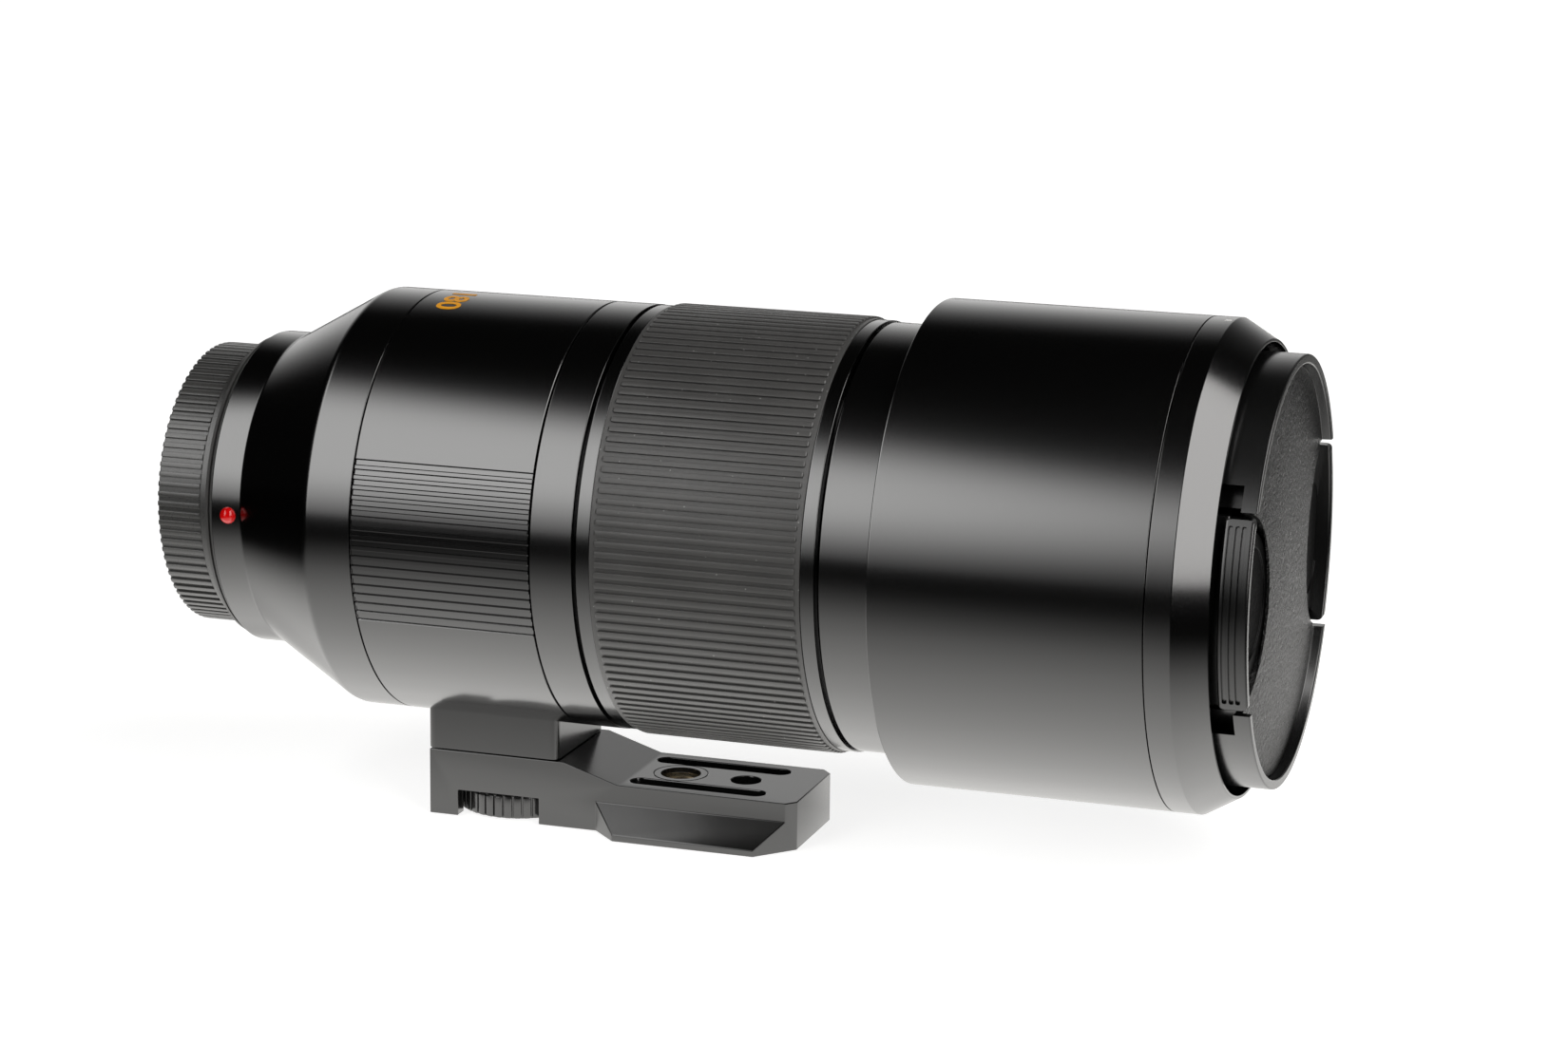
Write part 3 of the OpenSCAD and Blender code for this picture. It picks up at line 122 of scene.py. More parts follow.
class NodeDesk:
    """Adds and joins the nodes of one tree."""

    def __init__(self, tree: bpy.types.NodeTree) -> None:
        """Keeps the tree that is laid out: of a material, of the world or of a ring of bars."""
        self.tree = tree

    def add(self, kind: str, inputs: Optional[dict] = None, **settings: object) -> bpy.types.Node:
        """Adds a node.

        Args:
            kind: The node's type name.
            inputs: Values for its input sockets, or sockets to link to them, by name or place.
            settings: Values for its own properties.

        Returns:
            The new node.
        """
        node = self.tree.nodes.new(kind)
        for key, value in settings.items():
            setattr(node, key, value)
        for key, value in (inputs or {}).items():
            if isinstance(value, Socket):
                self.join(value, node.inputs[key])
            else:
                node.inputs[key].default_value = value
        return node

    def join(self, out: Socket, into: Socket) -> None:
        """Links an output socket to an input socket."""
        self.tree.links.new(out, into)

    def maths(self, operation: str, *values: "Socket | float") -> Socket:
        """Adds an operation on sockets and numbers, taken in order."""
        return self.add("ShaderNodeMath", dict(enumerate(values)), operation=operation).outputs[0]

    def spread(self, source: Socket, low: float, high: float, start: float = 0.3, end: float = 0.7,
               ease: str = "LINEAR") -> Socket:
        """Maps a value onto a range.

        Args:
            source: The value's socket.
            low: The result where the value's range starts.
            high: The result where it ends.
            start: Where the value's range starts.
            end: Where it ends.
            ease: How the result goes from one to the other.

        Returns:
            The result's socket.
        """
        node = self.add("ShaderNodeMapRange", {"Value": source, "From Min": start, "From Max": end, "To Min": low,
                                               "To Max": high}, interpolation_type=ease)
        return node.outputs["Result"]

    def fade(self, source: Socket, start: float, end: float, low: float, high: float) -> Socket:
        """Maps a value onto a soft step from low to high that lies between start and end."""
        return self.spread(source, low, high, start, end, "SMOOTHSTEP")

    def place(self) -> Socket:
        """Adds the place on the piece as a vector."""
        return self.add("ShaderNodeTexCoord").outputs["Object"]

    def noise(self, place: Socket, size: float, detail: float, **inputs: float) -> Socket:
        """Adds a noise with lumps of a size in millimetres."""
        values = {"Vector": place, "Scale": 1 / (size * MM), "Detail": detail, **inputs}
        return self.add("ShaderNodeTexNoise", values).outputs["Fac"]


@dataclass(frozen=True)
class Finish:
    """A surface with fine grain, broad tone changes and a set gloss."""

    name: str
    base: Triple
    roughness: float
    rough_spread: float = 0.04
    grain: float = 0.25
    grain_depth: float = 0.004
    tone: float = 0.15
    tone_size: float = 14.0
    metallic: float = 0.0
    ior: float = 1.5
    coat: float = 0.0
    stretch: Triple = (1.0, 1.0, 1.0)

    def make(self) -> Material:
        """Builds the material.

        Returns:
            The finished material.
        """
        material = bpy.data.materials.new(self.name)
        material.use_nodes = True
        desk = NodeDesk(material.node_tree)
        shader = material.node_tree.nodes["Principled BSDF"]
        shader.inputs["Metallic"].default_value = self.metallic
        shader.inputs["IOR"].default_value = self.ior
        shader.inputs["Coat Weight"].default_value = self.coat
        self.dress(desk, shader)
        return material

    def dress(self, desk: NodeDesk, shader: bpy.types.Node) -> None:
        """Lays out colour, gloss and relief.

        Args:
            desk: The tree's desk.
            shader: The shader that takes them.
        """
        mapping = desk.add("ShaderNodeMapping", {"Vector": desk.place(), "Scale": self.stretch})
        fine = desk.noise(mapping.outputs["Vector"], self.grain, 3.0, Roughness=0.6)
        broad = desk.noise(mapping.outputs["Vector"], self.tone_size, 4.0)
        desk.join(self.colour(desk, broad), shader.inputs["Base Color"])
        gloss = desk.spread(fine, self.roughness - self.rough_spread, self.roughness + self.rough_spread)
        desk.join(gloss, shader.inputs["Roughness"])
        bump = desk.add("ShaderNodeBump", {"Height": fine, "Strength": 1.0, "Distance": self.grain_depth * MM})
        desk.join(bump.outputs["Normal"], shader.inputs["Normal"])

    def colour(self, desk: NodeDesk, broad: Socket) -> Socket:
        """Mixes the base colour with its lighter and darker tones.

        Args:
            desk: The tree's desk.
            broad: The broad noise.

        Returns:
            The colour output.
        """
        dark, light = ((*[c * level for c in self.base], 1.0) for level in (1 - self.tone, 1 + self.tone))
        mix = desk.add("ShaderNodeMix", {0: desk.spread(broad, 0.0, 1.0), 6: dark, 7: light}, data_type="RGBA")
        return mix.outputs[2]


@dataclass(frozen=True)
class DustyRubber(Finish):
    """Moulded rubber with pale specks of dust."""

    speck_cell: float = 2.6
    speck_size: float = 0.035
    dust: Triple = (0.3, 0.3, 0.29)

    def colour(self, desk: NodeDesk, broad: Socket) -> Socket:
        """Adds specks of dust to the rubber's tones.

        Args:
            desk: The tree's desk.
            broad: The broad noise.

        Returns:
            The colour output.
        """
        cells = desk.add("ShaderNodeTexVoronoi", {"Vector": desk.place(), "Scale": 1 / (self.speck_cell * MM),
                                                  "Randomness": 1.0})
        speck = desk.spread(cells.outputs["Distance"], 1.0, 0.0, self.speck_size, self.speck_size * 2.2)
        mix = desk.add("ShaderNodeMix", {0: speck, 6: super().colour(desk, broad), 7: (*self.dust, 1.0)},
                       data_type="RGBA")
        return mix.outputs[2]


@dataclass(frozen=True)
class LensGlass(Finish):
    """Clear coated glass."""

    def dress(self, desk: NodeDesk, shader: bpy.types.Node) -> None:
        """Lays out a clear body with a faint tint that varies over the coating.

        Args:
            desk: The tree's desk.
            shader: The shader that takes them.
        """
        shader.inputs["Transmission Weight"].default_value = 1.0
        broad = desk.noise(desk.place(), self.tone_size, 2.0)
        desk.join(self.colour(desk, broad), shader.inputs["Base Color"])
        desk.join(desk.spread(broad, self.roughness, self.roughness + self.rough_spread), shader.inputs["Roughness"])


class Finishes:
    """Every finish on the lens, made once."""

    def __init__(self) -> None:
        """Builds the materials."""
        # After the colour: roughness, its spread, grain, its depth, tone, its size
        self.anodised = Finish("satin_anodised", (0.0008, 0.0008, 0.0008), 0.165, 0.02, 0.16, 0.0008, 0.2, 18,
                               ior=2.2).make()
        self.hood = Finish("grained_anodised", (0.0008, 0.0008, 0.0008), 0.165, 0.025, 0.22, 0.0012, 0.2, 20,
                           ior=2.2).make()
        self.foot = Finish("foot_anodised", (0.006, 0.006, 0.0058), 0.19, 0.03, 0.18, 0.0012, 0.2, 12,
                           ior=1.75).make()
        self.rubber = DustyRubber("moulded_rubber", (0.064, 0.063, 0.061), 0.42, 0.08, 0.3, 0.006, 0.12, 10,
                                  ior=1.75).make()
        self.rear_plastic = Finish("rear_cap_plastic", (0.06, 0.0595, 0.057), 0.31, 0.06, 0.25, 0.003, 0.1, 9,
                                   ior=1.9).make()
        self.cap_plastic = Finish("cap_satin_plastic", (0.003, 0.0031, 0.0031), 0.23, 0.04, 0.2, 0.002, 0.15,
                                  12, ior=1.9).make()
        self.cap_face = Finish("cap_grained_plastic", (0.006, 0.006, 0.0058), 0.33, 0.08, 0.9, 0.5, 0.2,
                               12, ior=1.44).make()
        self.pad = Finish("recess_pebble", (0.002, 0.002, 0.002), 0.65, 0.1, 0.9, 0.2, 0.3, 6, ior=1.35).make()
        self.dish = Finish("dish_plastic", (0.003, 0.003, 0.003), 0.42, 0.05, 0.2, 0.003, 0.15, 12, ior=1.3).make()
        self.bead = Finish("red_bead", (0.95, 0.005, 0.006), 0.12, 0.03, 0.4, 0.001, 0.05, 3, coat=0.6).make()
        self.mount = Finish("plated_mount", (0.62, 0.62, 0.63), 0.25, 0.06, 0.3, 0.002, 0.05, 8, metallic=1.0,
                            stretch=(6.0, 1.0, 1.0)).make()
        self.steel = Finish("plain_steel", (0.45, 0.45, 0.46), 0.32, 0.06, 0.25, 0.003, 0.08, 6,
                            metallic=1.0).make()
        self.alloy = Finish("turned_alloy", (0.34, 0.34, 0.35), 0.35, 0.06, 0.25, 0.003, 0.08, 9, metallic=1.0,
                            stretch=(8.0, 1.0, 1.0)).make()
        self.brass = Finish("turned_brass", (0.6, 0.42, 0.16), 0.3, 0.05, 0.3, 0.002, 0.08, 6,
                            metallic=1.0).make()
        self.bronze = Finish("dark_bronze", (0.5, 0.44, 0.34), 0.3, 0.06, 0.25, 0.003, 0.1, 6,
                             metallic=1.0).make()
        self.copper = Finish("wound_copper", (0.52, 0.2, 0.08), 0.4, 0.08, 0.2, 0.02, 0.12, 4, metallic=1.0,
                             stretch=(1.0, 5.0, 1.0)).make()
        self.board = Finish("lacquered_board", (0.012, 0.09, 0.03), 0.35, 0.06, 0.6, 0.01, 0.25, 3).make()
        self.glass = LensGlass("coated_glass", (0.93, 0.96, 0.97), 0.01, 0.02, tone=0.02, tone_size=30).make()
        self.orange = Finish("orange_ink", (1.0, 0.42, 0.003), 0.5, 0.05, 0.2, 0.002, 0.06, 2).make()
        self.white = Finish("white_ink", (0.88, 0.88, 0.86), 0.5, 0.05, 0.2, 0.002, 0.04, 2).make()


# Meshes


def rounded(profile: Sequence[Point], radius: float, steps: int = ROUND_STEPS) -> list[Point]:
    """Rounds the corners of a closed profile, with a point beside each rounding that keeps long faces straight.

    Args:
        profile: Corners as (place along the axis, radius).
        radius: How far from a corner the rounding starts.
        steps: Straight steps in each rounding.

    Returns:
        The profile with a short curve at each corner.
    """
    out: list[Point] = []
    count = len(profile)
    for i, here in enumerate(profile):
        corner = Vector(here)
        before = Vector(profile[i - 1]) - corner
        after = Vector(profile[(i + 1) % count]) - corner
        bend = before.angle(-after) if before.length and after.length else 0.0
        if bend < math.radians(12) or abs(corner.y) < 1e-6:
            out.append(here)
            continue
        reach = min(radius, before.length * 0.42, after.length * 0.42)
        start, end = corner + before.normalized() * reach, corner + after.normalized() * reach
        curve = [start * (1 - t) ** 2 + corner * 2 * t * (1 - t) + end * t ** 2
                 for t in (k / steps for k in range(steps + 1))]
        for p in (start * 1.15 - corner * 0.15, *curve, end * 1.15 - corner * 0.15):
            out.append((p.x, p.y))
    return out


def on_clock(x: float, r: float, clock: float) -> Vector:
    """The place of a point in metres, from its station, radius and clock angle in degrees."""
    a = math.radians(clock)
    return Vector((x, r * math.sin(a), -r * math.cos(a))) * MM


def shaded(mesh: Mesh, sharp: float = 16.0) -> Mesh:
    """Shades a mesh smooth.

    Args:
        mesh: The mesh.
        sharp: Edges that bend more than this many degrees stay sharp.

    Returns:
        The same mesh.
    """
    mesh.shade_smooth()
    mesh.set_sharp_from_angle(angle=math.radians(sharp))
    return mesh


def kept(bm: bmesh.types.BMesh) -> Mesh:
    """Turns a bmesh into a mesh.

    Args:
        bm: The geometry, freed here.

    Returns:
        The mesh.
    """
    mesh = bpy.data.meshes.new("mesh")
    bm.to_mesh(mesh)
    bm.free()
    return mesh


def closed(bm: bmesh.types.BMesh) -> Mesh:
    """Turns a bmesh into a shaded mesh with its faces outwards.

    Args:
        bm: The geometry, freed here.

    Returns:
        The mesh.
    """
    bmesh.ops.remove_doubles(bm, verts=bm.verts, dist=1e-7)
    bmesh.ops.recalc_face_normals(bm, faces=bm.faces)
    return shaded(kept(bm), 14.0)


def skin(bm: bmesh.types.BMesh, here: Sequence[bmesh.types.BMVert], there: Sequence[bmesh.types.BMVert]) -> None:
    """Adds a band of faces between two closed rows of corners.

    Args:
        bm: The geometry.
        here: The first row.
        there: The second row.
    """
    for i in range(len(here)):
        j = (i + 1) % len(here)
        bm.faces.new((here[i], here[j], there[j], there[i]))


def turned_mesh(profile: Sequence[Point], segments: int = 224) -> Mesh:
    """Spins a closed profile round the optical axis.

    Args:
        profile: Points as (place along the axis, radius).
        segments: Steps in the full turn.

    Returns:
        The mesh.
    """
    bm = bmesh.new()
    rings = [[bm.verts.new(on_clock(x, r, 360 * i / segments)) for x, r in profile] for i in range(segments)]
    count = len(profile)
    for i in range(segments):
        here, there = rings[i], rings[(i + 1) % segments]
        for k in range(count):
            j = (k + 1) % count
            if profile[k][1] < 1e-6 and profile[j][1] < 1e-6:
                continue
            if profile[k][1] < 1e-6:
                bm.faces.new((here[k], here[j], there[j]))
            elif profile[j][1] < 1e-6:
                bm.faces.new((here[k], here[j], there[k]))
            else:
                bm.faces.new((here[k], here[j], there[j], there[k]))
    return closed(bm)


def swept_mesh(profile: Sequence[Point], start: float, end: float, steps: int) -> Mesh:
    """Sweeps a closed profile through part of a turn and closes both ends.

    Args:
        profile: Points as (place along the axis, radius).
        start: Clock angle at the start.
        end: Clock angle at the end.
        steps: Steps in the sweep.

    Returns:
        The mesh.
    """
    bm = bmesh.new()
    rings = [[bm.verts.new(on_clock(x, r, start + (end - start) * i / steps)) for x, r in profile]
             for i in range(steps + 1)]
    for here, there in zip(rings, rings[1:]):
        skin(bm, here, there)
    bm.faces.new(rings[0])
    bm.faces.new(rings[-1])
    return closed(bm)


def extruded_mesh(outline: Sequence[Point], low: float, high: float,
                  place: Callable[[float, float, float], Vector]) -> Mesh:
    """Extrudes an outline.

    Args:
        outline: Points in the outline's plane.
        low: Where the extrusion starts.
        high: Where it ends.
        place: Gives the place in millimetres from the two outline coordinates and the height.

    Returns:
        The mesh.
    """
    bm = bmesh.new()
    bottom, top = ([bm.verts.new(place(u, v, w) * MM) for u, v in outline] for w in (low, high))
    skin(bm, bottom, top)
    bm.faces.new(bottom)
    bm.faces.new(top)
    return closed(bm)


def along_x(y: float, z: float, x: float) -> Vector:
    """Places an outline drawn across the axis."""
    return Vector((x, y, z))


def along_y(x: float, z: float, y: float) -> Vector:
    """Places an outline drawn as seen from the side."""
    return Vector((x, y, z))


def along_z(x: float, y: float, z: float) -> Vector:
    """Places an outline drawn in plan."""
    return Vector((x, y, z))


def arc(radius: float, start: float, end: float, steps: int, centre: Point = (0.0, 0.0)) -> list[Point]:
    """Points of an arc.

    Args:
        radius: The arc's radius.
        start: Its start angle in degrees.
        end: Its end angle in degrees.
        steps: Steps in the arc.
        centre: The arc's centre.

    Returns:
        The points.
    """
    return [(centre[0] + radius * math.cos(math.radians(start + (end - start) * i / steps)),
             centre[1] + radius * math.sin(math.radians(start + (end - start) * i / steps)))
            for i in range(steps + 1)]


def block(x0: float, x1: float, r0: float, r1: float) -> list[Point]:
    """The corners of a straight-sided profile or outline."""
    return [(x0, r0), (x1, r0), (x1, r1), (x0, r1)]


def lug_ring(profile: Sequence[Point], count: int, half: float, steps: int) -> list[Mesh]:
    """Makes equal bayonet lugs round the axis, each from its section, half its angle and its steps."""
    return [swept_mesh(profile, 360 / count * i - half, 360 / count * i + half, steps) for i in range(count)]


def stood(mesh: Mesh, place: Triple, angle: float, axis: str) -> Mesh:
    """Turns a mesh by some degrees about an axis and sets it in its place."""
    mesh.transform(Matrix.Translation(Vector(place) * MM) @ Matrix.Rotation(math.radians(angle), 4, axis))
    return mesh


def added(name: str, data: bpy.types.ID) -> bpy.types.Object:
    """Adds an object to the scene.

    Args:
        name: Its name.
        data: Its mesh, text, camera or lamp.

    Returns:
        The object.
    """
    obj = bpy.data.objects.new(name, data)
    bpy.context.scene.collection.objects.link(obj)
    return obj


def evaluated(data: bpy.types.ID, dress: Optional[Callable[[bpy.types.Object], None]] = None) -> Mesh:
    """Runs modifiers on a mesh, or fills a text, and keeps the result as a plain mesh.

    Args:
        data: The mesh or text to start from.
        dress: Adds the modifiers to a scratch object.

    Returns:
        The plain mesh.
    """
    scratch = added("scratch", data)
    if dress:
        dress(scratch)
    bpy.context.view_layer.update()
    graph = bpy.context.evaluated_depsgraph_get()
    result = bpy.data.meshes.new_from_object(scratch.evaluated_get(graph), depsgraph=graph)
    scratch.modifiers.clear()
    bpy.data.objects.remove(scratch)
    return result


def combined(mesh: Mesh, cutters: Sequence[Mesh], keep: Cut = Cut.OUTSIDE) -> Mesh:
    """Cuts a mesh with others.

    Args:
        mesh: The mesh to start from.
        cutters: The other meshes.
        keep: The part of the mesh that is kept.

    Returns:
        The result.
    """
    tools: list[bpy.types.Object] = []

    def dress(scratch: bpy.types.Object) -> None:
        """Adds one boolean for each cutter.

        Args:
            scratch: The object that takes them.
        """
        for cutter in cutters:
            tools.append(added("tool", cutter))
            boolean = scratch.modifiers.new("cut", "BOOLEAN")
            boolean.operation = keep.value
            boolean.solver = "EXACT"
            boolean.object = tools[-1]

    result = evaluated(mesh, dress)
    for tool in tools:
        bpy.data.objects.remove(tool)
    return result


def softened(mesh: Mesh, width: float, angle: float = 32.0) -> Mesh:
    """Breaks the sharp edges of a mesh.

    Args:
        mesh: The mesh to start from.
        width: Width of the broken edge.
        angle: Only edges that bend more than this many degrees are broken.

    Returns:
        The result.
    """
    def dress(scratch: bpy.types.Object) -> None:
        """Adds the bevel.

        Args:
            scratch: The object that takes it.
        """
        bevel = scratch.modifiers.new("edges", "BEVEL")
        bevel.width = width * MM
        bevel.segments = 2
        bevel.limit_method = "ANGLE"
        bevel.angle_limit = math.radians(angle)
        bevel.use_clamp_overlap = True

    return shaded(evaluated(mesh, dress))


def merged(*meshes: Mesh) -> Mesh:
    """Puts several closed shells into one mesh.

    Args:
        meshes: The shells.

    Returns:
        The mesh.
    """
    bm = bmesh.new()
    for mesh in meshes:
        bm.from_mesh(mesh)
    return shaded(kept(bm))


def solid_copy(node: str) -> Mesh:
    """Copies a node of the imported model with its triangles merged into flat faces.

    Args:
        node: The node's name.

    Returns:
        The copy.
    """
    bm = bmesh.new()
    bm.from_mesh(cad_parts[node].data)
    bmesh.ops.remove_doubles(bm, verts=bm.verts, dist=2e-6)
    bmesh.ops.dissolve_limit(bm, angle_limit=math.radians(0.6), verts=bm.verts, edges=bm.edges)
    return kept(bm)


@dataclass(frozen=True)
class Bars:
    """A ring of equal bars with rounded edges and ends that lie along the axis."""

    length: float
    width: float
    height: float
    corner: float
    radius: float
    count: int
    end: float = 0.3

    TREE = "ring_of_bars"
    STATIONS = 8

    @classmethod
    def tree(cls) -> bpy.types.NodeTree:
        """Builds the node tree that makes one bar and sets it round the axis.

        Returns:
            The tree, made once.
        """
        if cls.TREE in bpy.data.node_groups:
            return bpy.data.node_groups[cls.TREE]
        tree = bpy.data.node_groups.new(cls.TREE, "GeometryNodeTree")
        kinds = dict.fromkeys(("Length", "Width", "Height", "Corner", "End", "Radius", "Step"), "Float")
        for label, kind in {**kinds, "Count": "Int", "Finish": "Material"}.items():
            tree.interface.new_socket(label, in_out="INPUT", socket_type=f"NodeSocket{kind}")
        tree.interface.new_socket("Geometry", in_out="OUTPUT", socket_type="NodeSocketGeometry")
        desk = NodeDesk(tree)
        given = desk.add("NodeGroupInput").outputs
        station = desk.maths("SUBTRACT", desk.add("GeometryNodeInputIndex").outputs[0], (cls.STATIONS - 1) / 2)
        bend = desk.maths("MULTIPLY", desk.maths("SUBTRACT", desk.maths("ABSOLUTE", station), 0.5),
                          math.pi / (cls.STATIONS - 2))
        inset = desk.maths("MULTIPLY", given["End"], desk.maths("SUBTRACT", 1.0, desk.maths("SINE", bend)))
        reach = desk.maths("SUBTRACT", desk.maths("MULTIPLY", given["Length"], 0.5), inset)
        spot = desk.add("ShaderNodeCombineXYZ", {"X": desk.maths("MULTIPLY", desk.maths("SIGN", station), reach)})
        thin = desk.maths("MULTIPLY_ADD", desk.maths("COSINE", bend), 0.7, 0.3)
        line = desk.add("GeometryNodeCurvePrimitiveLine")
        steps = desk.add("GeometryNodeResampleCurve", {"Curve": line.outputs[0], "Count": cls.STATIONS}, mode="COUNT")
        path = desk.add("GeometryNodeSetPosition", {"Geometry": steps.outputs[0], "Position": spot.outputs[0]})
        box = desk.add("GeometryNodeCurvePrimitiveQuadrilateral",
                       {"Width": given["Width"], "Height": given["Height"]})
        fillet = desk.add("GeometryNodeFilletCurve",
                          {"Curve": box.outputs[0], "Count": 3, "Radius": given["Corner"]}, mode="POLY")
        bar = desk.add("GeometryNodeCurveToMesh", {"Curve": path.outputs[0], "Profile Curve": fillet.outputs[0],
                                                   "Scale": thin, "Fill Caps": True})
        below = desk.add("ShaderNodeCombineXYZ", {"Z": desk.maths("MULTIPLY", given["Radius"], -1.0)})
        moved = desk.add("GeometryNodeTransform", {"Geometry": bar.outputs[0], "Translation": below.outputs[0]})
        points = desk.add("GeometryNodeMeshLine", {"Count": given["Count"], "Offset": (0.0, 0.0, 0.0)})
        index = desk.add("GeometryNodeInputIndex").outputs[0]
        spin = desk.add("ShaderNodeCombineXYZ", {"X": desk.maths("MULTIPLY", index, given["Step"])})
        copies = desk.add("GeometryNodeInstanceOnPoints", {"Points": points.outputs[0], "Instance": moved.outputs[0],
                                                           "Rotation": spin.outputs[0]})
        real = desk.add("GeometryNodeRealizeInstances", {0: copies.outputs[0]})
        painted = desk.add("GeometryNodeSetMaterial", {"Geometry": real.outputs[0], "Material": given["Finish"]})
        desk.add("NodeGroupOutput", {0: painted.outputs[0]})
        return tree

    def mesh(self, x: float, material: Material) -> Mesh:
        """Makes the ring of bars.

        Args:
            x: Place of the bars' middle along the axis.
            material: The bars' finish.

        Returns:
            A plain mesh.
        """
        tree = self.tree()
        values = {"Length": self.length * MM, "Width": self.width * MM, "Height": self.height * MM,
                  "Corner": self.corner * MM, "End": self.end * MM, "Radius": (self.radius - self.height / 2) * MM,
                  "Count": self.count, "Step": math.radians(360 / self.count), "Finish": material}
        sockets = {item.name: item.identifier for item in tree.interface.items_tree
                   if item.item_type == "SOCKET" and item.in_out == "INPUT"}

        def dress(scratch: bpy.types.Object) -> None:
            """Adds the tree with its sizes.

            Args:
                scratch: The object that takes it.
            """
            nodes = scratch.modifiers.new("bars", "NODES")
            nodes.node_group = tree
            for label, value in values.items():
                nodes[sockets[label]] = value

        mesh = evaluated(bpy.data.meshes.new("seed"), dress)
        mesh.transform(Matrix.Translation((x * MM, 0, 0)))
        return shaded(mesh)


def piece(name: str, mesh: Mesh, body: Body, material: Material,
          stands_for: Sequence[str] = ()) -> bpy.types.Object:
    """Adds a finished piece to the lens.

    Args:
        name: The piece's name.
        mesh: Its mesh, in place.
        body: The body that it moves with.
        material: Its finish.
        stands_for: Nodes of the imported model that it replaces.

    Returns:
        The piece.
    """
    mesh.name = name
    mesh.materials.clear()
    mesh.materials.append(material)
    obj = added(name, mesh)
    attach(obj, body.value)
    if stands_for:
        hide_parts(*stands_for)
    log.info("%s rides on %s, %d faces", name, body.value, len(mesh.polygons))
    return obj


def paint(material: Material, *nodes: str) -> None:
    """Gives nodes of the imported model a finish.

    Args:
        material: The finish.
        nodes: The nodes' names.
    """
    for node in nodes:
        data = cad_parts[node].data
        data.materials.clear()
        data.materials.append(material)


# The studio


